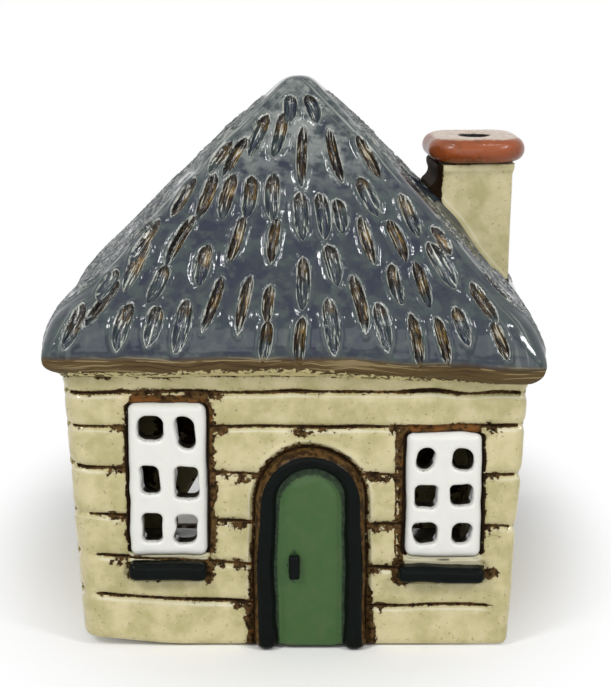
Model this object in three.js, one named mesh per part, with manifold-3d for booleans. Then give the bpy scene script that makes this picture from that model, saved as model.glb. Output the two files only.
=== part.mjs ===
// A glazed pottery cottage that holds one tea light.
// Millimetres. X runs along the front, Y from the front to the back, Z up.
// The origin is on the ground, under the middle of the roof.

import * as THREE from 'three';
import { mergeVertices } from 'three/addons/utils/BufferGeometryUtils.js';
import Module from 'manifold-3d';

const wasm = await Module();
wasm.setup();

// Walls
const WALL_HEIGHT = 57.5;
const WALL_THICKNESS = 4.5;
const FOOT_WIDTH = 86.6;
const HEAD_WIDTH = 93.4;
const HOUSE_DEPTH = 75;
const CORNER_RADIUS = 4;
const INSIDE_CORNER = 0.5;
const FLOOR_THICKNESS = 3.5;

// Pressed lines between the plank courses, from the ground up
const COURSE_HEIGHTS = [10, 18, 27.2, 37.5, 47.1, 54.2];
const GROOVE_DEPTH = 1;
const GROOVE_WIDTH = 0.9;

// Arch in the back wall
const ARCH_WIDTH = 60;
const ARCH_HEIGHT = 32;
const ARCH_STEPS = 16;

// Roof
const ROOF_WIDTH = 102;
const ROOF_DEPTH = 86;
const ROOF_TOP = 115;
const ROOF_THICKNESS = 4.5;
const NOSE_RADIUS = 6;
const NOSE_TURN = 10;
const SLOPE_BULGE = 1;
const CREST_HALF_WIDTH = 4;
const CREST_DROP = 1.9;
const CREST_LEAN = 0.9;
const HIP_ROUNDING = 0.15;
const HIP_STEPS = 4;
const ROOF_PROFILE_STEPS = 5;

// Thatch marks. Each row has its drop below the crest, then each mark's place across the front
// slope and its length. The other slopes take the same rows, mirrored or fitted to their width.
const MARK_ROWS = [
  [6.3, [[-0.8, 7], [4, 7.5]]],
  [11.5, [[-7.5, 11], [-3, 11]]],
  [15.5, [[-18.5, 8.5], [-12.4, 10], [1.6, 14], [8.4, 12.5], [16.2, 11]]],
  [23, [[-25, 10.5], [-17.8, 11.5], [-13.8, 11.5], [-9, 10.5], [-4.5, 11.5], [15.3, 10.5]]],
  [26.5, [[1.6, 11.5], [6.1, 11], [9.6, 8], [23.7, 10.5]]],
  [31, [[-33, 10.5], [-23.4, 12], [-11.6, 11], [-4.2, 10], [14.8, 11], [21.3, 10], [32, 7.5]]],
  [35.5, [[-32, 13], [-18.4, 10], [8, 10], [30, 12]]],
  [39, [[-41, 8.5], [-27.2, 9.7], [2, 12.5], [20.4, 9.5], [26, 10.5]]],
  [42, [[-38.3, 11.6], [-16, 12.4], [-10, 13], [-5.1, 9], [13.4, 13.5], [38.1, 10.5]]],
  [46, [[-44.6, 11], [-34.1, 10.8], [-27.8, 9], [-22.1, 12], [7.6, 12], [17.8, 10.4], [33.5, 8.6]]],
  [49, [[-5.5, 8], [1.2, 9.4], [24.6, 10.6], [29.8, 9.7], [41.2, 8]]],
];
const MARK_WIDTH = 2.5;
const MARK_DEPTH = 1.4;
const MARK_KEEL = 0.5;
const MARK_CLEAR = 0.7;
const HIP_MARGIN = 3;
const STACK_MARGIN = 5.5;

// How a mark leans away from the middle, and how far hands wander from the rows
const FAN_SPREAD = 1.3;
const FAN_START = 1.5;
const FAN_SHARE = 0.72;
const STRAY = { mark: 12.9898, size: 78.233 };
const WANDER = { across: 0.8, up: 1.2, turn: 5, length: 0.06, width: 0.16, depth: 0.15 };

// A mark's outline, once round from its blunt top, as shares of its half length and half width
const MARK_OUTLINE = [[-1, -0.4], [-0.35, -1], [0.4, -0.82], [1, 0], [0.4, 0.82], [-0.35, 1], [-1, 0.4]];

// Chimney
const CHIMNEY_FROM_EAVE = 11.8;
const CHIMNEY_Y = 8;
const CHIMNEY_TURN = 6;
const STACK_WIDTH = 15;
const STACK_TOP = 94.5;
const CAP_WIDTH = 20.8;
const CAP_THICKNESS = 6.5;
const CAP_CORNER = 5;
const CAP_NOSE = 2.6;
const FLUE_DIAMETER = 7;
const FLUE_SIDES = 20;

// Window tiles: place, size, and the width of each bar round and between the panes
const LEFT_WINDOW = {
  x: -25.7, bottom: 19.9, width: 15.8, height: 32.2, stile: 2.2, mullion: 2, rail: 2.7, bar: 4.9,
};
const RIGHT_WINDOW = {
  x: 30.6, bottom: 19.5, width: 15.4, height: 26.5, stile: 2, mullion: 3, rail: 2.8, bar: 3,
};
const PANE_COLUMNS = 2;
const PANE_ROWS = 3;
const PANE_CORNER = 1.4;
const TILE_CORNER = 1.2;
const TILE_PROUD = 0.6;

// Sills
const LEFT_SILL = { x: -25.85, z: 17, width: 16.3, height: 3.9 };
const RIGHT_SILL = { x: 30.3, z: 16.3, width: 17.8, height: 3.6 };
const SILL_PROUD = 3;
const SILL_CORNER = 1.3;
const SILL_NOSE = 1.1;

// Door
const DOOR_X = 3.3;
const DOOR_FOOT = 0.8;
const DOOR_SPRING = 31.5;
const DOOR_WIDTH = 14;
const DOOR_ARC_STEPS = 12;
const DOOR_PROUD = 1.4;
const COIL_WIDTH = 4;
const COIL_PROUD = 3;
const COIL_NOSE = 1.4;
const HANDLE_FROM_MIDDLE = -3.2;
const HANDLE_Z = 18.1;
const HANDLE_WIDTH = 2.2;
const HANDLE_LENGTH = 5.4;
const HANDLE_CORNER = 0.6;
const HANDLE_PROUD = 1.6;

// Tea light
const CUP_DIAMETER = 38.6;
const CUP_HEIGHT = 15.5;
const CUP_THICKNESS = 0.4;
const WAX_HEIGHT = 12.3;
const WICK_DIAMETER = 1.3;
const WICK_ABOVE_WAX = 5;
const TAB_DIAMETER = 13;
const TAB_THICKNESS = 0.4;
const NECK_DIAMETER = 2.7;
const NECK_HEIGHT = 3;
const CANDLE_SIDES = 36;

// The seam between two clay pieces, and round what sits in another piece
const SEAM = 0.3;

// How far a cutting solid reaches past what it cuts
const PAST = 1;

const INSIDE_DEPTH = HOUSE_DEPTH - 2 * WALL_THICKNESS;
const FRONT_FACE = -HOUSE_DEPTH / 2;
const FAR = 2 * Math.max(ROOF_WIDTH, ROOF_DEPTH, ROOF_TOP);
const CHIMNEY_X = ROOF_WIDTH / 2 - CHIMNEY_FROM_EAVE;
const DEPTH_RATIO = ROOF_DEPTH / ROOF_WIDTH;

const COLOURS = {
  clay: 0xc8bf95, thatch: 0x3d454d, orange: 0x8a421b, white: 0xe8e9e1, green: 0x4a6b3f,
  black: 0x101310, metal: 0xc4c7ca, wax: 0xf1ece0, cotton: 0xd8d0c0,
};

// Turns a closed three.js geometry into a solid that can be joined and cut.
function solidOf(geometry) {
  const bare = geometry.clone();
  bare.deleteAttribute('normal');
  bare.deleteAttribute('uv');
  const merged = mergeVertices(bare, 1e-4);
  const corners = merged.index.array;
  const kept = [];
  for (let i = 0; i < corners.length; i += 3) {
    const [a, b, c] = [corners[i], corners[i + 1], corners[i + 2]];
    if (a !== b && b !== c && c !== a) kept.push(a, b, c);
  }
  return new wasm.Manifold(new wasm.Mesh({
    numProp: 3,
    vertProperties: new Float32Array(merged.attributes.position.array),
    triVerts: new Uint32Array(kept),
  }));
}

// Turns a solid back into a three.js geometry.
function geometryOf(solid) {
  const mesh = solid.getMesh();
  const geometry = new THREE.BufferGeometry();
  geometry.setAttribute('position', new THREE.BufferAttribute(mesh.vertProperties, 3));
  geometry.setIndex(new THREE.BufferAttribute(mesh.triVerts, 1));
  geometry.computeVertexNormals();
  return geometry;
}

function block(x0, x1, y0, y1, z0, z1) {
  const geometry = new THREE.BoxGeometry(x1 - x0, y1 - y0, z1 - z0);
  geometry.translate((x0 + x1) / 2, (y0 + y1) / 2, (z0 + z1) / 2);
  return solidOf(geometry);
}

function cylinder(diameter, sides, x, y, z0, z1) {
  const geometry = new THREE.CylinderGeometry(diameter / 2, diameter / 2, z1 - z0, sides);
  geometry.rotateX(Math.PI / 2);
  geometry.translate(x, y, (z0 + z1) / 2);
  return solidOf(geometry);
}

// A rectangle with round corners, centred on a point.
function roundedRectangle(outline, x, y, width, height, radius) {
  const [left, right] = [x - width / 2, x + width / 2];
  const [low, high] = [y - height / 2, y + height / 2];
  outline.moveTo(left + radius, low);
  outline.lineTo(right - radius, low);
  outline.absarc(right - radius, low + radius, radius, -Math.PI / 2, 0);
  outline.absarc(right - radius, high - radius, radius, 0, Math.PI / 2);
  outline.absarc(left + radius, high - radius, radius, Math.PI / 2, Math.PI);
  outline.absarc(left + radius, low + radius, radius, Math.PI, 1.5 * Math.PI);
  return outline;
}

// Extrudes an outline drawn in X and Z from the plane y = back towards the front.
function extrudeForward(shape, back, depth, options = {}) {
  const geometry = new THREE.ExtrudeGeometry(shape, { depth, bevelEnabled: false, ...options });
  geometry.rotateX(Math.PI / 2);
  geometry.translate(0, back, 0);
  return geometry;
}

// Half the width of the house at height z, less an inset. The side walls lean out towards the eave.
function halfWidthAt(z, inset) {
  return THREE.MathUtils.lerp(FOOT_WIDTH, HEAD_WIDTH, z / WALL_HEIGHT) / 2 - inset;
}

// A round-cornered block that leans with the side walls, from the ground to height top.
function leaningBlock(inset, depth, radius, top) {
  const footWidth = 2 * halfWidthAt(0, inset);
  const shape = roundedRectangle(new THREE.Shape(), 0, 0, footWidth, depth, radius);
  const geometry = new THREE.ExtrudeGeometry(shape, { depth: top, bevelEnabled: false, curveSegments: 3 });
  const position = geometry.attributes.position;
  for (let i = 0; i < position.count; i += 1) {
    const lean = halfWidthAt(position.getZ(i), inset) - halfWidthAt(0, inset);
    position.setX(i, position.getX(i) + Math.sign(position.getX(i)) * lean);
  }
  return solidOf(geometry);
}

// The four walls as one leaning block, with a groove pressed round it between each pair of courses.
function plankedBlock() {
  let planked = leaningBlock(0, HOUSE_DEPTH, CORNER_RADIUS, WALL_HEIGHT);
  const coreRadius = CORNER_RADIUS - GROOVE_DEPTH;
  const core = leaningBlock(GROOVE_DEPTH, HOUSE_DEPTH - 2 * GROOVE_DEPTH, coreRadius, WALL_HEIGHT);
  for (const height of COURSE_HEIGHTS) {
    const band = block(-FAR, FAR, -FAR, FAR, height - GROOVE_WIDTH / 2, height + GROOVE_WIDTH / 2);
    planked = planked.subtract(band.subtract(core));
  }
  return planked;
}

function tileOutline(tile, clearance) {
  const shape = new THREE.Shape();
  const middle = tile.bottom + tile.height / 2;
  const width = tile.width + 2 * clearance;
  const height = tile.height + 2 * clearance;
  return roundedRectangle(shape, tile.x, middle, width, height, TILE_CORNER + clearance);
}

// The hole that a window tile sits in, with a seam all round.
function tileHole(tile) {
  return solidOf(extrudeForward(tileOutline(tile, SEAM), -INSIDE_DEPTH / 2 + SEAM, FAR, { curveSegments: 4 }));
}

// The low arch that the tea light goes in through, standing on the floor.
function archHole() {
  const shape = new THREE.Shape();
  shape.moveTo(-ARCH_WIDTH / 2, FLOOR_THICKNESS);
  for (let i = 1; i <= ARCH_STEPS; i += 1) {
    const across = -1 + (2 * i) / ARCH_STEPS;
    shape.lineTo((across * ARCH_WIDTH) / 2, FLOOR_THICKNESS + ARCH_HEIGHT * (1 - across * across));
  }
  return solidOf(extrudeForward(shape, FAR, FAR));
}

const planked = plankedBlock();
const insideHalf = INSIDE_DEPTH / 2;

function frontWall() {
  return planked
    .intersect(block(-FAR, FAR, -FAR, -insideHalf, -FAR, FAR))
    .subtract(tileHole(LEFT_WINDOW))
    .subtract(tileHole(RIGHT_WINDOW));
}

function backWall() {
  return planked
    .intersect(block(-FAR, FAR, insideHalf, FAR, -FAR, FAR))
    .subtract(archHole());
}

// A side wall fills the space between the front and back walls. Side is -1 or 1.
function sideWall(side) {
  const [x0, x1] = side < 0 ? [-FAR, 0] : [0, FAR];
  const inside = leaningBlock(WALL_THICKNESS, 2 * HOUSE_DEPTH, INSIDE_CORNER, WALL_HEIGHT);
  return planked
    .intersect(block(x0, x1, -insideHalf, insideHalf, -FAR, FAR))
    .subtract(inside);
}

function floorSlab() {
  return leaningBlock(WALL_THICKNESS + SEAM, INSIDE_DEPTH - 2 * SEAM, INSIDE_CORNER, FLOOR_THICKNESS);
}

// How far the roof stands over to the right at height z. The slopes aren't quite alike.
function leanAt(z) {
  return (CREST_LEAN * (z - WALL_HEIGHT)) / (ROOF_TOP - WALL_HEIGHT);
}

// Turns a profile, drawn as half widths against heights, into a hipped solid with rounded hips.
function hippedSolid(outline, depthRatio) {
  const ring = roundedRectangle(new THREE.Shape(), 0, 0, 2, 2, HIP_ROUNDING).getPoints(HIP_STEPS);
  ring.pop();
  const geometry = new THREE.LatheGeometry(outline, ring.length);
  const position = geometry.attributes.position;
  for (let i = 0; i < position.count; i += 1) {
    const side = ring[Math.floor(i / outline.length) % ring.length];
    const { x, y } = outline[i % outline.length];
    position.setXYZ(i, x * side.x + leanAt(y), x * side.y * depthRatio, y);
  }
  return solidOf(geometry);
}

// The roof's profile: a flat rim, a bull-nosed eave, a slope that bulges a little, and a rounded
// crest, all grown by a clearance.
function roofProfile(clearance) {
  const nose = NOSE_RADIUS + clearance;
  const noseX = ROOF_WIDTH / 2 - NOSE_RADIUS;
  const noseZ = WALL_HEIGHT + NOSE_RADIUS;
  const turn = THREE.MathUtils.degToRad(NOSE_TURN);
  const foot = new THREE.Vector2(noseX + nose * Math.cos(turn), noseZ + nose * Math.sin(turn));
  const crest = new THREE.Vector2(CREST_HALF_WIDTH, ROOF_TOP - CREST_DROP + clearance);
  const along = crest.clone().sub(foot);
  const outward = new THREE.Vector2(along.y, -along.x).normalize();
  const bulge = foot.clone().add(crest).multiplyScalar(0.5).addScaledVector(outward, 2 * SLOPE_BULGE);
  const slopeEnd = crest.clone().sub(bulge);
  const shoulder = CREST_HALF_WIDTH + (slopeEnd.x * CREST_DROP) / slopeEnd.y;
  const outline = new THREE.Path();
  outline.moveTo(0, noseZ - nose);
  outline.lineTo(noseX, noseZ - nose);
  outline.absarc(noseX, noseZ, nose, -Math.PI / 2, turn);
  outline.quadraticCurveTo(bulge.x, bulge.y, crest.x, crest.y);
  outline.quadraticCurveTo(shoulder, ROOF_TOP + clearance, 0, ROOF_TOP + clearance);
  return outline.getPoints(ROOF_PROFILE_STEPS);
}

// The outside of the roof. Grown by a clearance, it cuts the foot of the chimney.
function roofOutside(clearance) {
  return hippedSolid(roofProfile(clearance), DEPTH_RATIO);
}

const profile = roofProfile(0);

// Half the roof's width at height z, read off its profile.
function roofReach(z) {
  const above = profile.findIndex((point) => point.y >= z);
  const [low, high] = [profile[above - 1], profile[above]];
  return THREE.MathUtils.mapLinear(z, low.y, high.y, low.x, high.x);
}

// The four slopes: which way each faces, the roof's reach that way and across it, and whether the
// rows of marks are mirrored on it.
const SLOPES = [
  { out: new THREE.Vector3(0, -1, 0), deep: DEPTH_RATIO, wide: 1, mirror: 1, loose: 0 },
  { out: new THREE.Vector3(1, 0, 0), deep: 1, wide: DEPTH_RATIO, mirror: -1, loose: 1 },
  { out: new THREE.Vector3(0, 1, 0), deep: DEPTH_RATIO, wide: 1, mirror: -1, loose: 1 },
  { out: new THREE.Vector3(-1, 0, 0), deep: 1, wide: DEPTH_RATIO, mirror: 1, loose: 1 },
];

// The point of a slope's skin at a place across it and a height.
function onSlope(slope, across, z) {
  const half = roofReach(z);
  const beside = new THREE.Vector3(-slope.out.y, slope.out.x, 0);
  const aside = Math.abs(across - leanAt(z) * beside.x) / (half * slope.wide);
  const past = THREE.MathUtils.clamp(aside - 1 + HIP_ROUNDING, 0, HIP_ROUNDING);
  const share = 1 - HIP_ROUNDING + Math.sqrt(HIP_ROUNDING ** 2 - past ** 2);
  const point = slope.out.clone().multiplyScalar(half * slope.deep * share);
  point.addScaledVector(beside, across);
  point.x += leanAt(z) * Math.abs(slope.out.x);
  point.z = z;
  return point;
}

// How the hands that cut the marks strayed: from -1 to 1, for each mark and each of its sizes.
function stray(number, kind) {
  return Math.sin(STRAY.mark * number + STRAY.size * kind);
}

// The faces of a boat: a flat top over a mark's outline, and sides down to a keel of two points.
function boatFaces() {
  const count = MARK_OUTLINE.length;
  const keelAt = (i) => (MARK_OUTLINE[i][0] < 0 ? count : count + 1);
  const faces = [];
  for (let i = 0; i < count; i += 1) {
    const next = (i + 1) % count;
    if (i > 0 && next > 0) faces.push(0, i, next);
    faces.push(next, i, keelAt(i));
    if (keelAt(i) !== keelAt(next)) faces.push(next, keelAt(i), keelAt(next));
  }
  return faces;
}

// One pointed gouge, as the solid that cuts it out of the roof.
function markCutter(slope, drop, place, length, number) {
  const z = ROOF_TOP - drop + slope.loose * WANDER.up * stray(number, 2);
  const wanted = slope.mirror * place * slope.wide + slope.loose * WANDER.across * stray(number, 1);
  const limit = roofReach(z) * slope.wide - HIP_MARGIN;
  const across = THREE.MathUtils.clamp(wanted, -limit, limit);
  const centre = onSlope(slope, across, z);
  const down = onSlope(slope, across, z - 1).sub(centre).normalize();
  const edge = onSlope(slope, across + 1, z).sub(onSlope(slope, across - 1, z)).normalize();
  const outward = down.clone().cross(edge).normalize();
  const fan = Math.atan2(across, FAN_SPREAD * (ROOF_TOP - z) + FAN_START);
  const lean = FAN_SHARE * fan + THREE.MathUtils.degToRad(WANDER.turn) * stray(number, 3);
  down.applyAxisAngle(outward, lean);
  const beside = outward.clone().cross(down);
  const halfLength = (length / 2) * (1 + WANDER.length * stray(number, 4));
  const halfWidth = (MARK_WIDTH / 2) * (1 + WANDER.width * stray(number, 5));
  const depth = MARK_DEPTH * (1 + WANDER.depth * stray(number, 6));
  const grow = (depth + MARK_CLEAR) / depth;
  const keel = [-MARK_KEEL * halfLength, MARK_KEEL * halfLength];
  const corners = MARK_OUTLINE.flatMap(([along, side]) => {
    const end = along < 0 ? keel[0] : keel[1];
    return [end + (along * halfLength - end) * grow, side * halfWidth * grow, MARK_CLEAR];
  });
  corners.push(keel[0], 0, -depth, keel[1], 0, -depth);
  const geometry = new THREE.BufferGeometry();
  geometry.setAttribute('position', new THREE.Float32BufferAttribute(corners, 3));
  geometry.setIndex(boatFaces());
  geometry.applyMatrix4(new THREE.Matrix4().makeBasis(down, beside, outward).setPosition(centre));
  return { centre, solid: solidOf(geometry) };
}

// Cuts the marks into all four slopes, except where the chimney stands.
function carved(solid) {
  const clear = STACK_WIDTH / 2 + STACK_MARGIN;
  const eaveTop = WALL_HEIGHT + NOSE_RADIUS;
  let result = solid;
  let number = 0;
  for (const slope of SLOPES) {
    for (const [drop, row] of MARK_ROWS) {
      for (const [place, length] of row) {
        number += 1;
        if (ROOF_TOP - drop < eaveTop + WANDER.up) continue;
        const mark = markCutter(slope, drop, place, length, number);
        const [x, y] = [mark.centre.x - CHIMNEY_X, mark.centre.y - CHIMNEY_Y];
        if (Math.abs(x) > clear || Math.abs(y) > clear) result = result.subtract(mark.solid);
      }
    }
  }
  return result;
}

// The hollow under the roof, as wide at its foot as the space between the walls.
function roofInside() {
  const foot = halfWidthAt(WALL_HEIGHT, WALL_THICKNESS);
  const rise = ROOF_TOP - CREST_DROP - WALL_HEIGHT - NOSE_RADIUS;
  const slope = rise / (ROOF_WIDTH / 2 - CREST_HALF_WIDTH);
  const ceiling = ROOF_TOP - CREST_DROP - ROOF_THICKNESS * Math.hypot(1, slope);
  const shoulder = ceiling - slope * (foot - CREST_HALF_WIDTH);
  const hollow = [
    new THREE.Vector2(0, WALL_HEIGHT - PAST),
    new THREE.Vector2(foot, WALL_HEIGHT - PAST),
    new THREE.Vector2(foot, shoulder),
    new THREE.Vector2(CREST_HALF_WIDTH, ceiling),
    new THREE.Vector2(0, ceiling),
  ];
  return hippedSolid(hollow, insideHalf / foot);
}

function flue(bottom) {
  return cylinder(FLUE_DIAMETER, FLUE_SIDES, CHIMNEY_X, CHIMNEY_Y, bottom, FAR);
}

function roof() {
  const aboveNose = WALL_HEIGHT + NOSE_RADIUS + 2 * PAST;
  return carved(roofOutside(0)).subtract(roofInside()).subtract(flue(aboveNose));
}

// Turns and places a piece that is drawn round the chimney's own middle.
function placeChimney(geometry) {
  geometry.rotateZ(THREE.MathUtils.degToRad(CHIMNEY_TURN));
  geometry.translate(CHIMNEY_X, CHIMNEY_Y, 0);
  return solidOf(geometry);
}

function chimneyStack() {
  const bottom = WALL_HEIGHT + NOSE_RADIUS;
  const post = new THREE.BoxGeometry(STACK_WIDTH, STACK_WIDTH, STACK_TOP - bottom);
  post.translate(0, 0, (STACK_TOP + bottom) / 2);
  return placeChimney(post).subtract(roofOutside(SEAM)).subtract(flue(bottom));
}

function chimneyCap() {
  const shape = roundedRectangle(new THREE.Shape(), 0, 0, CAP_WIDTH, CAP_WIDTH, CAP_CORNER);
  const slab = new THREE.ExtrudeGeometry(shape, {
    depth: CAP_THICKNESS - 2 * CAP_NOSE,
    bevelThickness: CAP_NOSE,
    bevelSize: CAP_NOSE,
    bevelOffset: -CAP_NOSE,
    bevelSegments: 4,
    curveSegments: 5,
  });
  slab.translate(0, 0, STACK_TOP + CAP_NOSE);
  return placeChimney(slab).subtract(flue(STACK_TOP - PAST));
}

// A pierced tile: two columns of three panes in a frame that sits in the wall.
function windowTile(tile) {
  const shape = tileOutline(tile, 0);
  const paneWidth = (tile.width - 2 * tile.stile - (PANE_COLUMNS - 1) * tile.mullion) / PANE_COLUMNS;
  const paneHeight = (tile.height - 2 * tile.rail - (PANE_ROWS - 1) * tile.bar) / PANE_ROWS;
  for (let column = 0; column < PANE_COLUMNS; column += 1) {
    for (let row = 0; row < PANE_ROWS; row += 1) {
      const x = tile.x + (column - (PANE_COLUMNS - 1) / 2) * (paneWidth + tile.mullion);
      const z = tile.bottom + tile.rail + paneHeight / 2 + row * (paneHeight + tile.bar);
      shape.holes.push(roundedRectangle(new THREE.Path(), x, z, paneWidth, paneHeight, PANE_CORNER));
    }
  }
  const depth = WALL_THICKNESS + TILE_PROUD;
  return solidOf(extrudeForward(shape, -insideHalf, depth, { curveSegments: 4 }));
}

// The space in front of the front wall, which trims what lies on the wall to a flat back.
function outOfDoors() {
  return block(-FAR, FAR, -FAR, FRONT_FACE, -FAR, FAR);
}

// A soft-edged piece that lies on the front wall and stands out from it.
function onFrontWall(shape, proud, nose) {
  const bevel = {
    bevelEnabled: true, bevelThickness: nose, bevelSize: nose, bevelOffset: -nose, bevelSegments: 3,
  };
  const core = extrudeForward(shape, FRONT_FACE + nose, proud, { curveSegments: 5, ...bevel });
  return solidOf(core).intersect(outOfDoors());
}

function sill(place) {
  const shape = new THREE.Shape();
  roundedRectangle(shape, place.x, place.z, place.width, place.height, SILL_CORNER);
  return onFrontWall(shape, SILL_PROUD, SILL_NOSE);
}

// The line of an arch from its left foot over to its right foot.
function archLine(width) {
  const line = new THREE.Path();
  line.moveTo(DOOR_X - width / 2, DOOR_FOOT);
  line.lineTo(DOOR_X - width / 2, DOOR_SPRING);
  line.absarc(DOOR_X, DOOR_SPRING, width / 2, Math.PI, 0, true);
  line.lineTo(DOOR_X + width / 2, DOOR_FOOT);
  return line.getPoints(DOOR_ARC_STEPS);
}

function doorPanel() {
  return solidOf(extrudeForward(new THREE.Shape(archLine(DOOR_WIDTH)), FRONT_FACE, DOOR_PROUD));
}

// The coil round the door: an arch less the smaller arch that the panel fills.
function doorSurround() {
  const inner = archLine(DOOR_WIDTH + 2 * SEAM);
  const outer = archLine(DOOR_WIDTH + 2 * SEAM + 2 * COIL_WIDTH);
  return onFrontWall(new THREE.Shape([...outer, ...inner.reverse()]), COIL_PROUD, COIL_NOSE);
}

function doorHandle() {
  const shape = new THREE.Shape();
  const x = DOOR_X + HANDLE_FROM_MIDDLE;
  roundedRectangle(shape, x, HANDLE_Z, HANDLE_WIDTH, HANDLE_LENGTH, HANDLE_CORNER);
  return solidOf(extrudeForward(shape, FRONT_FACE - DOOR_PROUD, HANDLE_PROUD, { curveSegments: 3 }));
}

// Turns a closed profile, drawn as [radius, height] from the cup's underside, into a piece of the tea light.
function candlePiece(profile) {
  const points = [...profile, profile[0]].map(([r, z]) => new THREE.Vector2(r, FLOOR_THICKNESS + z));
  const geometry = new THREE.LatheGeometry(points, CANDLE_SIDES);
  geometry.rotateX(Math.PI / 2);
  return solidOf(geometry);
}

const cupRadius = CUP_DIAMETER / 2;
const cupBore = cupRadius - CUP_THICKNESS;
const wickHole = WICK_DIAMETER / 2 + SEAM;
const tabTop = CUP_THICKNESS + TAB_THICKNESS;
const neckTop = tabTop + NECK_HEIGHT;
const waxTop = CUP_THICKNESS + WAX_HEIGHT;

function tealightCup() {
  return candlePiece([
    [0, 0], [cupRadius, 0], [cupRadius, CUP_HEIGHT], [cupBore, CUP_HEIGHT],
    [cupBore, CUP_THICKNESS], [0, CUP_THICKNESS],
  ]);
}

function tealightTab() {
  return candlePiece([
    [wickHole, CUP_THICKNESS], [TAB_DIAMETER / 2, CUP_THICKNESS], [TAB_DIAMETER / 2, tabTop],
    [NECK_DIAMETER / 2, tabTop], [NECK_DIAMETER / 2, neckTop], [wickHole, neckTop],
  ]);
}

function tealightWax() {
  const tabHole = TAB_DIAMETER / 2 + SEAM;
  const neckHole = NECK_DIAMETER / 2 + SEAM;
  return candlePiece([
    [tabHole, CUP_THICKNESS], [cupBore - SEAM, CUP_THICKNESS], [cupBore - SEAM, waxTop],
    [wickHole, waxTop], [wickHole, neckTop + SEAM], [neckHole, neckTop + SEAM],
    [neckHole, tabTop + SEAM], [tabHole, tabTop + SEAM],
  ]);
}

function tealightWick() {
  return candlePiece([
    [0, CUP_THICKNESS], [WICK_DIAMETER / 2, CUP_THICKNESS],
    [WICK_DIAMETER / 2, waxTop + WICK_ABOVE_WAX], [0, waxTop + WICK_ABOVE_WAX],
  ]);
}

function piece(name, solid, colour, roughness, metalness = 0) {
  const material = new THREE.MeshStandardMaterial({ color: colour, roughness, metalness });
  const mesh = new THREE.Mesh(geometryOf(solid), material);
  mesh.name = name;
  return mesh;
}

const house = new THREE.Group();
house.add(
  piece('floor_slab', floorSlab(), COLOURS.clay, 0.5),
  piece('front_wall', frontWall(), COLOURS.clay, 0.3),
  piece('back_wall', backWall(), COLOURS.clay, 0.3),
  piece('left_wall', sideWall(-1), COLOURS.clay, 0.3),
  piece('right_wall', sideWall(1), COLOURS.clay, 0.3),
  piece('roof', roof(), COLOURS.thatch, 0.2),
  piece('chimney_stack', chimneyStack(), COLOURS.clay, 0.3),
  piece('chimney_cap', chimneyCap(), COLOURS.orange, 0.2),
  piece('left_window', windowTile(LEFT_WINDOW), COLOURS.white, 0.25),
  piece('right_window', windowTile(RIGHT_WINDOW), COLOURS.white, 0.25),
  piece('left_sill', sill(LEFT_SILL), COLOURS.black, 0.2),
  piece('right_sill', sill(RIGHT_SILL), COLOURS.black, 0.2),
  piece('door_panel', doorPanel(), COLOURS.green, 0.2),
  piece('door_surround', doorSurround(), COLOURS.black, 0.2),
  piece('door_handle', doorHandle(), COLOURS.black, 0.2),
);

const tealight = new THREE.Group();
tealight.add(
  piece('tealight_cup', tealightCup(), COLOURS.metal, 0.3, 1),
  piece('tealight_wax', tealightWax(), COLOURS.wax, 0.5),
  piece('tealight_wick_tab', tealightTab(), COLOURS.metal, 0.35, 1),
  piece('tealight_wick', tealightWick(), COLOURS.cotton, 0.9),
);

const part = new THREE.Group();
part.add(house, tealight);

export default part;
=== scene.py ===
"""A glazed pottery cottage that holds one tea light, dressed over its construction model.

Shapes are worked out in millimetres in the model's own frame: X along the front, Y from the door
to the back, Z up. They are handed to Blender in metres.
"""

import logging
import math
from dataclasses import dataclass, field
from enum import Enum
from typing import Callable

import bpy
import numpy as np
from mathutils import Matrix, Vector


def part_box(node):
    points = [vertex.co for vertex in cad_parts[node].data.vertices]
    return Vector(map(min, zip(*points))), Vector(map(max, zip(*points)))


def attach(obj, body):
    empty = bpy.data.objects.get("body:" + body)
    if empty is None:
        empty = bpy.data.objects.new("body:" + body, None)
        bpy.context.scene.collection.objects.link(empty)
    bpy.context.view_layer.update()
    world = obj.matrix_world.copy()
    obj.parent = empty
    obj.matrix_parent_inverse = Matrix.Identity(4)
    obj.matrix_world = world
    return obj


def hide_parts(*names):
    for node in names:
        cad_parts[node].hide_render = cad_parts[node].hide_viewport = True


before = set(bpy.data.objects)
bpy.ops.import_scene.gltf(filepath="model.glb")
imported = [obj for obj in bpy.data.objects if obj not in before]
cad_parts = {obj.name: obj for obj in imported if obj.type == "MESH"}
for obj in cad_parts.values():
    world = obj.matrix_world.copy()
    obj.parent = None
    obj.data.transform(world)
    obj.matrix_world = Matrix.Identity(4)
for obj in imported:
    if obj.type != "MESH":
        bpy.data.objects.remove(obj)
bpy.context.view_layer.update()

LOG = logging.getLogger("cottage")
MM = 0.001
FAR = 1e3
Array = np.ndarray
Distance = Callable[[Array], Array]
Relief = Callable[[Array, Array], Array]
Marks = Callable[[Array, Array], dict[str, Array]]
Colour = tuple[float, float, float]

# The windows' panes, each as its middle across and up, then its width and height
LEFT_PANES = (
    (-28.9, 46.9, 5.0, 4.8), (-22.1, 45.8, 3.7, 6.4), (-29.3, 36.1, 3.8, 6.0),
    (-21.9, 35.3, 4.7, 6.8), (-28.9, 25.8, 4.1, 6.0), (-22.1, 25.5, 4.3, 5.8),
)
RIGHT_PANES = (
    (27.0, 40.5, 3.6, 4.5), (34.5, 40.3, 4.3, 4.6), (27.0, 32.5, 4.7, 5.0),
    (34.2, 32.8, 4.4, 4.4), (26.9, 24.6, 4.9, 4.3), (34.4, 24.6, 3.9, 4.3),
)


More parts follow.
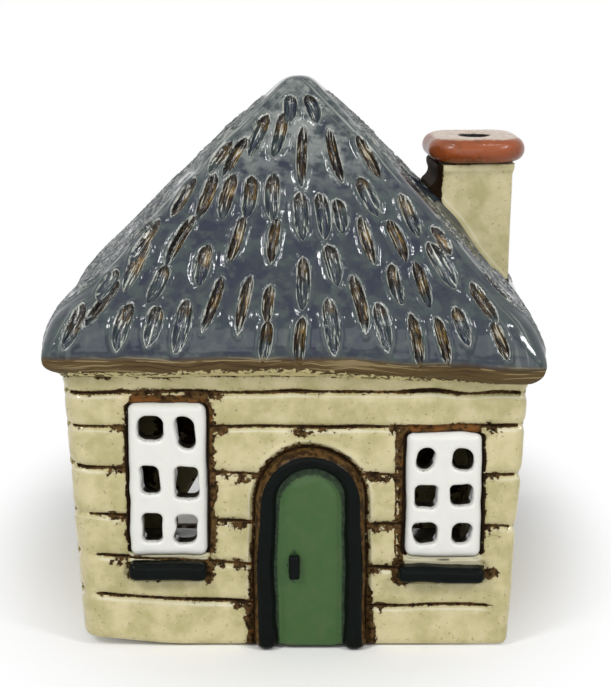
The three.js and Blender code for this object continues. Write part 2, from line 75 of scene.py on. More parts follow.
def node_box(node: str) -> tuple[Array, Array]:
    """Finds where a construction node stands.

    Args:
        node: the node's name.

    Returns:
        Its lowest and highest corners, in millimetres.
    """
    low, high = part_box(node)
    return np.array(low) / MM, np.array(high) / MM


def hill(distance: Array, width: float) -> Array:
    """Returns 1 where distance is 0, falling off in a bell of the given width."""
    return np.exp(-((distance / width) ** 2))


def ramp(value: Array, start: float, end: float) -> Array:
    """Returns a smooth step from 0 at start to 1 at end."""
    t = np.clip((value - start) / (end - start), 0, 1)
    return t * t * (3 - 2 * t)


def smooth_max(a: Array, b: Array, blend: float) -> Array:
    """Returns the larger of two distances, rounded where they meet over the blend width."""
    near = np.maximum(blend - np.abs(a - b), 0) / blend
    return np.maximum(a, b) + near * near * blend / 4


def plan_distance(u: Array, v: Array, half_u: Array, half_v: Array, radius: Array) -> Array:
    """Measures from the outline of a rectangle with round corners, centred on zero.

    Args:
        u: place along the first side, in millimetres.
        v: place along the second side.
        half_u: half the length of the first side.
        half_v: half the length of the second side.
        radius: the corner's radius.

    Returns:
        The distance, less than zero inside.
    """
    over_u = np.abs(u) - half_u + radius
    over_v = np.abs(v) - half_v + radius
    outside = np.hypot(np.maximum(over_u, 0), np.maximum(over_v, 0))
    return outside + np.minimum(np.maximum(over_u, over_v), 0) - radius


@dataclass(frozen=True)
class Lumps:
    """The unevenness that hands leave in clay: smooth random hills, from -1 to 1."""

    seed: int
    size: float

    def at(self, points: Array) -> Array:
        """Measures the hills.

        Args:
            points: places in millimetres, one a row.

        Returns:
            The height of the hills at each place.
        """
        count = 16
        table = np.random.default_rng(self.seed).uniform(-1, 1, (count, count, count))
        scaled = points / self.size
        whole = np.floor(scaled).astype(int)
        part = scaled - whole
        part = part * part * (3 - 2 * part)
        total = np.zeros(len(points))
        for corner in np.ndindex(2, 2, 2):
            share = np.prod(np.where(corner, part, 1 - part), axis=1)
            cell = (whole + corner) % count
            total += share * table[cell[:, 0], cell[:, 1], cell[:, 2]]
        return total


CUBE_CORNERS = np.array(list(np.ndindex(2, 2, 2)))
CUBE_EDGES = [
    (a, b)
    for a in range(8)
    for b in range(a + 1, 8)
    if np.abs(CUBE_CORNERS[a] - CUBE_CORNERS[b]).sum() == 1
]


def net_over(values: Array, low: Array, step: float) -> tuple[Array, Array]:
    """Draws a net of quads over the surface where a grid of distances crosses zero.

    Args:
        values: the distance at each point of the grid.
        low: the grid's lowest corner, in millimetres.
        step: the grid's spacing.

    Returns:
        The net's corners, and four corner numbers for each quad.
    """
    inside = values < 0
    full = np.zeros(tuple(n - 1 for n in values.shape), np.int8)
    for x, y, z in CUBE_CORNERS:
        full += inside[
            x : x + full.shape[0], y : y + full.shape[1], z : z + full.shape[2]
        ]
    crossed = (full > 0) & (full < 8)
    cells = np.argwhere(crossed)
    number = np.full(crossed.shape, -1)
    number[crossed] = np.arange(len(cells))
    at_corner = [values[tuple((cells + corner).T)] for corner in CUBE_CORNERS]
    total = np.zeros((len(cells), 3))
    count = np.zeros(len(cells))
    for a, b in CUBE_EDGES:
        crosses = (at_corner[a] < 0) != (at_corner[b] < 0)
        span = np.where(crosses, at_corner[a] - at_corner[b], 1)
        along = np.where(crosses, at_corner[a] / span, 0)
        place = CUBE_CORNERS[a] + along[:, None] * (CUBE_CORNERS[b] - CUBE_CORNERS[a])
        total += place * crosses[:, None]
        count += crosses
    corners = low + step * (cells + total / count[:, None])
    quads = []
    for axis in range(3):
        second, third = (axis + 1) % 3, (axis + 2) % 3
        body = [slice(1, -1)] * 3
        body[axis] = slice(None)
        trimmed = inside[tuple(body)]
        first_part = np.take(trimmed, range(trimmed.shape[axis] - 1), axis)
        next_part = np.take(trimmed, range(1, trimmed.shape[axis]), axis)
        for leaving in (True, False):
            edges = np.argwhere((first_part == leaving) & (next_part != leaving))
            edges[:, second] += 1
            edges[:, third] += 1
            ring = []
            for back_second, back_third in ((1, 1), (0, 1), (0, 0), (1, 0)):
                cell = edges.copy()
                cell[:, second] -= back_second
                cell[:, third] -= back_third
                ring.append(number[tuple(cell.T)])
            quads.append(np.stack(ring if leaving else ring[::-1], axis=1))
    return corners, np.concatenate(quads)


@dataclass
class Clay:
    """A piece of clay whose surface is found from a distance function, then pressed and marked."""

    name: str
    nodes: tuple[str, ...]
    distance: Distance
    low: Array
    high: Array
    step: float
    relief: Relief | None = None
    marks: Marks | None = None
    slot: str = ""
    body: str = "house"

    def sampled(self) -> tuple[Array, Array]:
        """Samples the distance on a grid, a slice at a time.

        Returns:
            The grid of distances, and its lowest corner.
        """
        low = np.asarray(self.low) - 2 * self.step
        count = np.ceil((np.asarray(self.high) - low) / self.step).astype(int) + 3
        axes = [low[i] + self.step * np.arange(count[i]) for i in range(3)]
        values = np.empty(count)
        y, z = np.meshgrid(axes[1], axes[2], indexing="ij")
        for start in range(0, count[0], 8):
            some = axes[0][start : start + 8]
            points = np.empty((len(some), *y.shape, 3))
            points[..., 0] = some[:, None, None]
            points[..., 1] = y
            points[..., 2] = z
            flat = self.distance(points.reshape(-1, 3))
            values[start : start + 8] = flat.reshape(len(some), *y.shape)
        return values, low

    def slope(self, points: Array) -> Array:
        """Finds which way the surface faces.

        Args:
            points: places on the surface, one a row.

        Returns:
            The outward unit direction at each place.
        """
        reach = 0.2 * self.step
        rise = np.empty_like(points)
        for axis in range(3):
            shift = np.zeros(3)
            shift[axis] = reach
            rise[:, axis] = self.distance(points + shift) - self.distance(points - shift)
        return rise / np.maximum(np.linalg.norm(rise, axis=1, keepdims=True), 1e-9)

    def cast(self) -> bpy.types.Object:
        """Makes the piece.

        Returns:
            The Blender object, riding on its body and standing for its nodes.
        """
        values, low = self.sampled()
        points, quads = net_over(values, low, self.step)
        for _ in range(2):
            off = np.clip(self.distance(points), -self.step, self.step)
            points = points - self.slope(points) * off[:, None]
        facing = self.slope(points)
        moved = points
        if self.relief:
            moved = points + facing * self.relief(points, facing)[:, None]
        values_at = self.marks(points, facing) if self.marks else {}
        return place_mesh(self.name, moved, quads, values_at, self.nodes, self.body)


def place_mesh(
    name: str,
    points: Array,
    quads: Array,
    values_at: dict[str, Array],
    nodes: tuple[str, ...],
    body: str,
) -> bpy.types.Object:
    """Makes a smooth-shaded object and joins it to the construction model.

    Args:
        name: the piece's name.
        points: its corners in millimetres, one a row.
        quads: four corner numbers for each face.
        values_at: named numbers to keep at each corner, for the finish to read.
        nodes: the construction nodes it stands for.
        body: the body it moves with.

    Returns:
        The Blender object.
    """
    mesh = bpy.data.meshes.new(name)
    mesh.vertices.add(len(points))
    mesh.vertices.foreach_set("co", (points * MM).astype(np.float32).ravel())
    mesh.loops.add(quads.size)
    mesh.loops.foreach_set("vertex_index", quads.astype(np.int32).ravel())
    mesh.polygons.add(len(quads))
    mesh.polygons.foreach_set("loop_start", np.arange(0, quads.size, 4, dtype=np.int32))
    mesh.polygons.foreach_set("loop_total", np.full(len(quads), 4, dtype=np.int32))
    mesh.polygons.foreach_set("use_smooth", np.ones(len(quads), dtype=bool))
    for label, values in values_at.items():
        store = mesh.attributes.new(label, "FLOAT", "POINT")
        store.data.foreach_set("value", values.astype(np.float32))
    mesh.update(calc_edges=True)
    mesh.validate()
    piece = bpy.data.objects.new(name, mesh)
    bpy.context.scene.collection.objects.link(piece)
    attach(piece, body)
    if nodes:
        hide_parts(*nodes)
    LOG.info("%s: %d faces", name, len(quads))
    return piece


class Nodes:
    """A short way to write a material's nodes."""

    def __init__(self, name: str) -> None:
        """Starts a material with one glazed surface.

        Args:
            name: the material's name.
        """
        self.material = bpy.data.materials.new(name)
        self.material.use_nodes = True
        self.tree = self.material.node_tree
        self.surface = self.tree.nodes["Principled BSDF"]
        self.place = self.tree.nodes.new("ShaderNodeTexCoord").outputs["Object"]

    def add(self, kind: str, **settings: object) -> bpy.types.Node:
        """Adds a node and sets its options."""
        node = self.tree.nodes.new(kind)
        for key, value in settings.items():
            setattr(node, key, value)
        return node

    def plug(self, socket: bpy.types.NodeSocket, value: object) -> None:
        """Links a socket to an output, or sets it to a number or a colour."""
        if isinstance(value, bpy.types.NodeSocket):
            self.tree.links.new(value, socket)
        elif isinstance(value, tuple):
            socket.default_value = (*value, 1.0)
        else:
            socket.default_value = value

    def put(self, label: str, value: object) -> None:
        """Sets one of the surface's own sockets."""
        self.plug(self.surface.inputs[label], value)

    def value(self, label: str) -> bpy.types.NodeSocket:
        """Reads a number kept at the mesh's corners."""
        return self.add("ShaderNodeAttribute", attribute_name=label).outputs["Fac"]

    def noise(self, size: float, detail: float = 3, rough: float = 0.55) -> bpy.types.NodeSocket:
        """Makes cloudy noise.

        Args:
            size: how wide a cloud is, in millimetres.
            detail: how many finer layers it has.
            rough: how strong the finer layers are.

        Returns:
            The noise, from 0 to 1.
        """
        node = self.add("ShaderNodeTexNoise")
        self.plug(node.inputs["Vector"], self.place)
        node.inputs["Scale"].default_value = 1 / (size * MM)
        node.inputs["Detail"].default_value = detail
        node.inputs["Roughness"].default_value = rough
        return node.outputs["Fac"]

    def math(self, operation: str, a: object, b: object = 0.0, c: object = 0.0) -> bpy.types.NodeSocket:
        """Works out one number from up to three."""
        node = self.add("ShaderNodeMath", operation=operation)
        for socket, value in zip(node.inputs, (a, b, c)):
            self.plug(socket, value)
        return node.outputs[0]

    def times(self, a: object, b: object) -> bpy.types.NodeSocket:
        """Multiplies two numbers."""
        return self.math("MULTIPLY", a, b)

    def plus(self, a: object, b: object) -> bpy.types.NodeSocket:
        """Adds two numbers."""
        return self.math("ADD", a, b)

    def scaled(self, a: object, b: object, c: object) -> bpy.types.NodeSocket:
        """Multiplies a by b and adds c."""
        return self.math("MULTIPLY_ADD", a, b, c)

    def band(self, value: object, start: float, end: float) -> bpy.types.NodeSocket:
        """Makes a smooth step from 0 at start to 1 at end."""
        node = self.add("ShaderNodeMapRange", interpolation_type="SMOOTHSTEP")
        self.plug(node.inputs["Value"], value)
        low, high, first, last = (start, end, 0.0, 1.0) if start < end else (end, start, 1.0, 0.0)
        node.inputs["From Min"].default_value = low
        node.inputs["From Max"].default_value = high
        node.inputs["To Min"].default_value = first
        node.inputs["To Max"].default_value = last
        return node.outputs["Result"]

    def mix(self, share: object, a: object, b: object) -> bpy.types.NodeSocket:
        """Mixes two colours, a where share is 0 and b where it is 1."""
        node = self.add("ShaderNodeMix", data_type="RGBA")
        self.plug(node.inputs["Factor"], share)
        self.plug(node.inputs[6], a)
        self.plug(node.inputs[7], b)
        return node.outputs[2]

    def bump(self, height: object, depth: float) -> None:
        """Adds fine relief to the glaze, depth millimetres from its lowest to its highest."""
        node = self.add("ShaderNodeBump")
        node.inputs["Strength"].default_value = 1.0
        node.inputs["Distance"].default_value = depth * MM
        self.plug(node.inputs["Height"], height)
        self.put("Normal", node.outputs["Normal"])
        self.put("Coat Normal", node.outputs["Normal"])

    def shine(self, roughness: object, coat: float, coat_roughness: float, level: float = 0.5) -> None:
        """Sets how glossy the glaze is."""
        self.put("Roughness", roughness)
        self.put("Coat Weight", coat)
        self.put("Coat Roughness", coat_roughness)
        self.put("Specular IOR Level", level)


@dataclass(frozen=True)
class BeigeGlaze:
    """Cream-green glaze over brown stain that shows where the glaze has run thin."""

    cream: Colour = (0.588, 0.520, 0.300)
    olive: Colour = (0.430, 0.385, 0.180)
    # pale: the painted highlight along the plank tops, and the pale bead and lines that share the edge value
    pale: Colour = (0.68, 0.65, 0.50)
    brown: Colour = (0.105, 0.060, 0.022)
    umber: Colour = (0.018, 0.010, 0.005)
    amber: Colour = (0.17, 0.070, 0.020)

    def make(self) -> bpy.types.Material:
        """Builds the material. The mesh keeps stain, line, deep, edge and amber, in millimetres."""
        n = Nodes("beige_glaze_finish")
        clouds = n.band(n.noise(6.0, 3), 0.36, 0.66)
        body = n.mix(clouds, self.olive, self.cream)
        body = n.mix(n.times(n.band(n.noise(2.2, 4), 0.42, 0.75), 0.5), body, self.cream)
        specks = n.times(n.band(n.noise(0.8, 2, 0.6), 0.655, 0.70), 0.45)
        body = n.mix(specks, body, self.brown)
        # Painted highlight: the glaze turns pale where the mesh's edge value is high, along the top of each
        # plank course; the same value also carries the pale bead between tile and sill and pale lines by the
        # door and the stack's root
        lit = n.times(n.band(n.value("edge"), 0.25, 0.95), 0.6)
        body = n.mix(lit, body, self.pale)
        fine = n.scaled(n.noise(0.7, 3, 0.65), 2.0, -1.0)
        broad = n.scaled(n.noise(2.6, 3), 3.6, -1.8)
        reach = n.plus(n.value("stain"), n.plus(fine, broad))
        drips = n.band(reach, 0.10, -0.08)
        thread = n.band(n.plus(n.value("line"), n.times(fine, 0.3)), 0.10, -0.04)
        stained = n.math("MAXIMUM", drips, thread)
        streaks = n.band(n.noise(1.1, 4), 0.35, 0.65)
        stain = n.mix(streaks, self.brown, self.umber)
        patches = n.times(n.band(n.noise(2.6, 2), 0.56, 0.7), 0.6)
        amber = n.math("MAXIMUM", patches, n.value("amber"))
        stain = n.mix(n.times(amber, n.band(n.noise(1.3, 3), 0.42, 0.56)), stain, self.amber)
        stain = n.mix(n.band(n.value("deep"), 0.35, 0.85), stain, self.umber)
        halo = n.times(n.band(reach, 0.6, 0.05), 0.16)
        body = n.mix(halo, body, self.brown)
        n.put("Base Color", n.mix(stained, body, stain))
        n.shine(n.scaled(stained, 0.30, 0.20), 0.2, 0.05, 0.35)
        n.put("Coat Weight", n.scaled(stained, -0.2, 0.2))
        n.put("Specular IOR Level", n.scaled(stained, -0.33, 0.35))
        pits = n.scaled(stained, -0.5, n.noise(1.6, 3))
        n.bump(n.plus(pits, n.noise(7.0, 2)), 0.14)
        return n.material


@dataclass(frozen=True)
class SlateGlaze:
    """Thick blue-grey glaze that breaks pale on edges and lets brown clay show in the carved marks."""

    navy: Colour = (0.009, 0.014, 0.034)
    slate: Colour = (0.020, 0.030, 0.042)
    green: Colour = (0.046, 0.066, 0.062)
    # mist: the pale streaks along the hips, and the painted sheen towards the crest
    mist: Colour = (0.25, 0.27, 0.255)
    # rim: the pale line round each mark, partly painted highlight, and the painted highlight streaks inside
    # the marks
    rim: Colour = (0.60, 0.61, 0.54)
    brown: Colour = (0.055, 0.033, 0.014)
    amber: Colour = (0.31, 0.195, 0.055)
    dark: Colour = (0.005, 0.004, 0.004)
    eave: Colour = (0.100, 0.064, 0.024)
    eave_line: Colour = (0.34, 0.27, 0.14)
    cream: Colour = (0.545, 0.480, 0.245)
    inside_clay: Colour = (0.10, 0.085, 0.07)

    def grain(self, n: Nodes, across: object, along: object, lot: object = 7.0) -> bpy.types.NodeSocket:
        """Makes noise drawn out in one direction.

        Args:
            n: the material being written.
            across: place across the grain, in grains.
            along: place along it.
            lot: which lot of noise to take.

        Returns:
            The noise, from 0 to 1.
        """
        place = n.add("ShaderNodeCombineXYZ")
        n.plug(place.inputs["X"], across)
        n.plug(place.inputs["Y"], along)
        n.plug(place.inputs["Z"], lot)
        node = n.add("ShaderNodeTexNoise")
        n.plug(node.inputs["Vector"], place.outputs[0])
        node.inputs["Scale"].default_value = 1.0
        node.inputs["Detail"].default_value = 3.0
        return node.outputs["Fac"]

    def make(self) -> bpy.types.Material:
        """Builds the material. The mesh keeps the places that glaze and marks are drawn from."""
        n = Nodes("slate_glaze_finish")
        across, along = n.times(n.value("across"), 3.0), n.times(n.value("along"), 0.25)
        streak = self.grain(n, across, along, n.value("lot"))
        inside = n.band(n.value("cut"), 0.02, -0.10)
        body = self.carved(n, self.pooled(n), streak, inside)
        body, smear, bare = self.eaved(n, body)
        body = n.mix(n.value("inner"), body, self.inside_clay)
        n.put("Base Color", body)
        n.shine(n.scaled(n.math("MAXIMUM", n.value("inner"), bare), 0.4, 0.14), 0.25, 0.04, 0.4)
        n.put("Specular IOR Level", n.scaled(bare, -0.3, 0.4))
        n.put("Coat Weight", n.scaled(bare, -0.2, 0.25))
        ridges = n.times(n.times(streak, inside), 2.4)
        swell = n.scaled(n.noise(4.0, 2), 1.6, n.times(smear, 0.8))
        swell = n.scaled(n.noise(11.0, 1), 3.0, swell)
        n.bump(n.plus(ridges, swell), 0.13)
        return n.material

    def pooled(self, n: Nodes) -> bpy.types.NodeSocket:
        """Colours the smooth glaze: navy where it pools, green-grey round the marks and along the hips, pale
        streaks along the hips, and a painted sheen of pale clouds towards the crest.

        Args:
            n: the material being written.

        Returns:
            The colour.
        """
        body = n.mix(n.band(n.noise(7.0, 3), 0.42, 0.56), self.navy, self.slate)
        flow = n.times(n.band(n.noise(3.0, 3, 0.5), 0.46, 0.66), 0.8)
        body = n.mix(flow, body, self.green)
        near = n.times(n.band(n.value("cut"), 1.3, 0.3), n.band(n.noise(5.0, 2), 0.32, 0.60))
        body = n.mix(n.times(near, 0.7), body, self.green)
        # Painted sheen: pale clouds of mist higher up, towards the crest
        crest = n.times(n.band(n.value("low"), 30, 50), n.band(n.noise(2.6, 3), 0.38, 0.62))
        body = n.mix(n.times(crest, 0.85), body, self.mist)
        run = self.grain(n, n.times(n.value("hip"), 0.9), n.times(n.value("low"), 0.05))
        beside = n.band(n.math("ABSOLUTE", n.value("hip")), 5.5, 0.5)
        body = n.mix(n.times(beside, n.band(run, 0.40, 0.60)), body, self.green)
        return n.mix(n.times(beside, n.band(run, 0.57, 0.66)), body, self.mist)

    def carved(
        self, n: Nodes, body: bpy.types.NodeSocket, streak: bpy.types.NodeSocket, inside: bpy.types.NodeSocket
    ) -> bpy.types.NodeSocket:
        """Colours the marks: dark brown clay with amber streaks, more of them on one wall as painted light,
        pale streaks of painted highlight, and a pale line round each that is partly thin glaze and partly
        painted highlight.

        Args:
            n: the material being written.
            body: the glaze's colour.
            streak: the grain that runs down each mark.
            inside: 1 in a mark.

        Returns:
            The colour.
        """
        pit = n.mix(n.band(streak, 0.47, 0.53), self.dark, self.brown)
        # Amber clay streaks; the lean gives more of them on the wall that faces +across, which is painted
        # light on that side of each mark
        aside = n.value("across")
        lean = n.scaled(aside, 0.07, n.times(n.value("along"), -0.02))
        lit = n.plus(streak, lean)
        some = n.band(n.noise(6.0, 1), 0.40, 0.50)
        pit = n.mix(n.times(n.band(lit, 0.48, 0.64), some), pit, self.amber)
        pit = n.mix(n.times(n.band(n.value("along"), -1.5, -4.5), 0.8), pit, self.dark)
        pit = n.mix(n.times(n.band(n.value("cut"), -0.60, -0.15), 0.85), pit, self.dark)
        full = n.scaled(n.value("lot"), 0.02, n.times(n.value("along"), 0.11))
        full = n.band(n.plus(full, n.scaled(streak, 1.0, -0.5)), 0.56, 0.72)
        pit = n.mix(full, pit, n.mix(n.band(streak, 0.40, 0.56), self.navy, self.green))
        # Painted highlight: thin pale streaks down the inside of each mark
        pit = n.mix(n.times(n.band(streak, 0.595, 0.63), 0.9), pit, self.rim)
        body = n.mix(inside, body, pit)
        # A pale line round each mark: thin glaze at its edge, and partly a painted highlight
        offset = n.math("ABSOLUTE", n.math("SUBTRACT", n.value("cut"), 0.03))
        line = n.times(n.band(offset, 0.15, 0.04), n.band(n.noise(2.2, 2), 0.36, 0.60))
        return n.mix(n.times(line, 0.62), body, self.rim)

    def eaved(self, n: Nodes, body: bpy.types.NodeSocket) -> tuple[bpy.types.NodeSocket, ...]:
        """Colours the underside of the eave: smeared brown, lapped by the walls' beige.

        Args:
            n: the material being written.
            body: the colour above it.

        Returns:
            The colour, how strongly the clay is smeared, and 1 on the eave's underside.
        """
        wander = n.scaled(n.noise(11.0, 2, 0.5), 1.8, -0.9)
        low = n.plus(n.value("low"), wander)
        bent = n.scaled(n.noise(9.0, 2, 0.5), 3.0, n.times(low, 1.3))
        ripple = self.grain(n, n.times(n.value("round"), 0.04), bent)
        bare = n.mix(n.band(ripple, 0.36, 0.50), self.brown, self.eave)
        bare = n.mix(n.times(n.band(ripple, 0.575, 0.61), 0.6), bare, self.eave_line)
        under = n.band(low, 5.9, 4.3)
        body = n.mix(under, body, bare)
        seam = n.band(n.math("ABSOLUTE", n.math("SUBTRACT", low, 4.5)), 0.16, 0.05)
        seam = n.times(seam, n.band(n.noise(5.0, 2), 0.44, 0.58))
        body = n.mix(n.times(seam, 0.7), body, self.eave_line)
        ragged = n.scaled(n.noise(1.6, 4, 0.6), 3.0, -1.5)
        skirt = n.plus(n.value("skirt"), ragged)
        spots = n.times(n.band(n.noise(1.1, 3), 0.50, 0.55), n.band(n.value("skirt"), -1.6, -0.6))
        cream = n.mix(spots, self.cream, self.brown)
        body = n.mix(n.band(skirt, 0.12, -0.08), body, cream)
        return body, n.times(under, ripple), under


@dataclass(frozen=True)
class PlainGlaze:
    """A glaze of one colour that thins on edges and clouds a little."""

    name: str
    thick: Colour
    thin: Colour
    thinnest: Colour
    cloud: Colour
    cloudy: float = 0.4
    coat: float = 0.3
    level: float = 0.4
    relief: float = 0.08
    rough: float = 0.20
    soft: float = 0.10
    near_black: Colour = (0.007, 0.006, 0.005)

    def make(self) -> bpy.types.Material:
        """Builds the material. The mesh keeps worn: to 1 where the glaze is thin, over 2 where it turns near
        black.
        """
        n = Nodes(self.name)
        clouds = n.times(n.band(n.noise(3.5, 4), 0.40, 0.68), self.cloudy)
        body = n.mix(clouds, self.thick, self.cloud)
        rough = n.scaled(n.noise(0.8, 3, 0.7), 0.9, -0.45)
        worn = n.band(n.plus(n.value("worn"), rough), 0.50 - self.soft, 0.50 + self.soft)
        bare = n.mix(n.band(n.noise(1.2, 4, 0.6), 0.44, 0.58), self.thin, self.thinnest)
        bare = n.mix(n.band(n.value("worn"), 1.8, 2.6), bare, self.near_black)
        n.put("Base Color", n.mix(worn, body, bare))
        n.shine(n.scaled(worn, 0.1, self.rough), self.coat, 0.05, self.level)
        n.bump(n.plus(n.noise(2.0, 3), n.noise(6.0, 2)), self.relief)
        return n.material


@dataclass(frozen=True)
class Metal:
    """Thin pressed metal with a soft sheen."""

    name: str
    colour: Colour
    roughness: float

    def make(self) -> bpy.types.Material:
        """Builds the material."""
        n = Nodes(self.name)
        dull = n.band(n.noise(4.0, 3), 0.35, 0.7)
        grey = (0.5, 0.5, 0.5)
        n.put("Base Color", n.mix(n.times(dull, 0.2), self.colour, grey))
        n.put("Metallic", 1.0)
        n.put("Roughness", n.scaled(dull, 0.15, self.roughness))
        n.bump(n.noise(1.5, 2), 0.03)
        return n.material


@dataclass(frozen=True)
class Soft:
    """Wax or cotton: a dull surface with a fine grain."""

    name: str
    colour: Colour
    shade: Colour
    grain: float
    roughness: float
    glow: float = 0.0

    def make(self) -> bpy.types.Material:
        """Builds the material."""
        n = Nodes(self.name)
        share = n.band(n.noise(self.grain, 3), 0.35, 0.7)
        n.put("Base Color", n.mix(share, self.colour, self.shade))
        n.put("Roughness", self.roughness)
        n.put("Subsurface Weight", self.glow)
        n.put("Subsurface Scale", 2 * MM)
        n.bump(n.noise(self.grain, 3), 0.05)
        return n.material


class Finish(Enum):
    """The finishes of the cottage and its tea light."""

    BEIGE = BeigeGlaze()
    SLATE = SlateGlaze()
    WHITE = PlainGlaze(
        "white_glaze_finish", (0.73, 0.73, 0.685), (0.050, 0.042, 0.030), (0.014, 0.012, 0.009),
        (0.67, 0.675, 0.635),
    )
    BLACK = PlainGlaze(
        "black_glaze_finish", (0.0045, 0.006, 0.005), (0.030, 0.016, 0.007), (0.10, 0.055, 0.018),
        (0.005, 0.008, 0.007), 0.6, 0.0, 0.05, 0.06,
    )
    GREEN = PlainGlaze(
        "green_glaze_finish", (0.046, 0.107, 0.032), (0.010, 0.022, 0.009), (0.022, 0.050, 0.018),
        (0.070, 0.112, 0.040), 0.6, 0.05, 0.2, 0.10,
    )
    ORANGE = PlainGlaze(
        "orange_glaze_finish", (0.285, 0.062, 0.011), (0.50, 0.36, 0.26), (0.62, 0.52, 0.42),
        (0.130, 0.040, 0.014), 0.6, 0.25, 0.3, 0.16, 0.30, 0.32,
    )
    BARE = PlainGlaze(
        "bare_clay_finish", (0.12, 0.11, 0.09), (0.09, 0.075, 0.06), (0.07, 0.06, 0.05), (0.15, 0.13, 0.11),
        0.6, 0.0, 0.2, 0.12,
    )
    CUP = Metal("cup_metal", (0.86, 0.86, 0.87), 0.28)
    TAB = Metal("tab_metal", (0.62, 0.62, 0.63), 0.35)
    WAX = Soft("wax", (0.86, 0.84, 0.78), (0.80, 0.77, 0.70), 2.5, 0.45, 0.6)
    COTTON = Soft("cotton", (0.78, 0.74, 0.66), (0.55, 0.50, 0.42), 0.4, 0.9)


MADE: dict[Finish, bpy.types.Material] = {}


def dress(piece: bpy.types.Object, finish: Finish) -> bpy.types.Object:
    """Gives a piece its finish, making the material the first time that it is asked for."""
    if finish not in MADE:
        MADE[finish] = finish.value.make()
    piece.data.materials.clear()
    piece.data.materials.append(MADE[finish])
    return piece


@dataclass
class WindowTile:
    """A white tile in the front wall, pierced by six uneven panes, with a black roll as its sill."""

    side: str
    panes: tuple[tuple[float, float, float, float], ...]
    corner: float = 1.6
    round_over: float = 0.9
    flare: float = 0.18

    def __post_init__(self) -> None:
        """Finds the tile and its sill in the construction model."""
        self.low, self.high = node_box(f"{self.side}_window")
        self.sill_low, self.sill_high = node_box(f"{self.side}_sill")
        self.middle = (self.low + self.high) / 2
        self.half = (self.high - self.low) / 2
        self.sill_middle = (self.sill_low + self.sill_high) / 2
        self.sill_half = (self.sill_high - self.sill_low) / 2
        self.lumps = Lumps(31, 3.0)

    def outline(self, p: Array) -> Array:
        """Returns the distance from the tile's outline, measured along the wall."""
        wobble = 0.22 * self.lumps.at(p * (1, 0, 1) + 50)
        u, v = p[:, 0] - self.middle[0], p[:, 2] - self.middle[2]
        return plan_distance(u, v, self.half[0], self.half[2], self.corner) + wobble

    def sill_outline(self, p: Array) -> Array:
        """Returns the distance from the sill's outline, measured along the wall."""
        u, v = p[:, 0] - self.sill_middle[0], p[:, 2] - self.sill_middle[2]
        return plan_distance(u, v, self.sill_half[0], self.sill_half[2], 0.8)

    def pane(self, p: Array, index: int) -> Array:
        """Measures from the edge of one pane.

        Args:
            p: places in millimetres.
            index: which pane, from the top left.

        Returns:
            The distance, less than zero in the hole. The hole widens towards the front.
        """
        x, z, width, height = self.panes[index]
        wide = self.flare * ramp(-p[:, 1], -self.low[1] - 2.4, -self.low[1] + 0.2)
        shift = 0.40 * Lumps(70 + index, 2.6).at(p * (1, 0.25, 1))
        radius = 1.5 + 0.35 * math.sin(5.0 * index + x)
        skew = 0.10 * math.sin(3.0 * index + z) * (p[:, 2] - z)
        u, v = p[:, 0] - x - skew, p[:, 2] - z
        return plan_distance(u, v, width / 2 + wide, height / 2 + wide, radius) + shift

    def tile_distance(self, p: Array) -> Array:
        """Returns the distance from the pierced tile."""
        face = np.abs(p[:, 1] - self.middle[1]) - self.half[1]
        solid = smooth_max(self.outline(p), face, 2 * self.round_over)
        for index in range(len(self.panes)):
            solid = smooth_max(solid, -self.pane(p, index), 0.5)
        return solid

    def tile_marks(self, p: Array, facing: Array) -> dict[str, Array]:
        """Returns where the white glaze is thin round the tile's edge and under each pane, and where the tile
        turns dark brown deeper in its holes and on its back.
        """
        edge = 0.45 * ramp(self.outline(p), -0.5, 0.1)
        # Dark brown from 1.2 mm behind the tile's face, deep in the holes and on its back
        inside = 1.6 * ramp(p[:, 1], self.low[1] + 1.2, self.low[1] + 2.2)
        worn = np.maximum(edge, inside)
        for index, (_, z, _, height) in enumerate(self.panes):
            below = ramp(z - p[:, 2], 0.2 * height, 0.5 * height)
            worn = np.maximum(worn, 0.42 * below * ramp(-self.pane(p, index), -0.5, 0.1))
        return {"worn": worn}

    def sill_distance(self, p: Array) -> Array:
        """Returns the distance from the sill: a bar of clay with square ends and a round front."""
        bow = 0.30 * self.lumps.at(p * (0.6, 0, 0) + 20)
        u = np.abs(p[:, 0] - self.sill_middle[0]) - self.sill_half[0] + 0.1
        v = p[:, 2] - self.sill_middle[2] - bow
        proud = self.sill_high[1] - self.sill_low[1]
        deep = np.maximum(self.sill_high[1] - p[:, 1], 0)
        roll = plan_distance(v, deep, self.sill_half[2] - 0.1, proud - 0.1, 1.35)
        return np.maximum(smooth_max(roll, u, 1.5), p[:, 1] - self.sill_high[1] - 0.5)

    def build(self) -> None:
        """Makes the tile and its sill."""
        tile = Clay(
            f"{self.side}_window_tile", (f"{self.side}_window",), self.tile_distance,
            self.low, self.high, 0.30, None, self.tile_marks, "white_glaze",
        )
        dress(tile.cast(), Finish.WHITE)
        sill = Clay(
            f"{self.side}_sill_roll", (f"{self.side}_sill",), self.sill_distance,
            self.sill_low, self.sill_high + (0, 0.6, 0), 0.22,
            lambda p, facing: 0.10 * Lumps(35, 2.0).at(p),
            lambda p, facing: {"worn": 0.45 * ramp(p[:, 1], self.sill_low[1] + 2.0, self.sill_high[1])},
            "black_glaze",
        )
        dress(sill.cast(), Finish.BLACK)


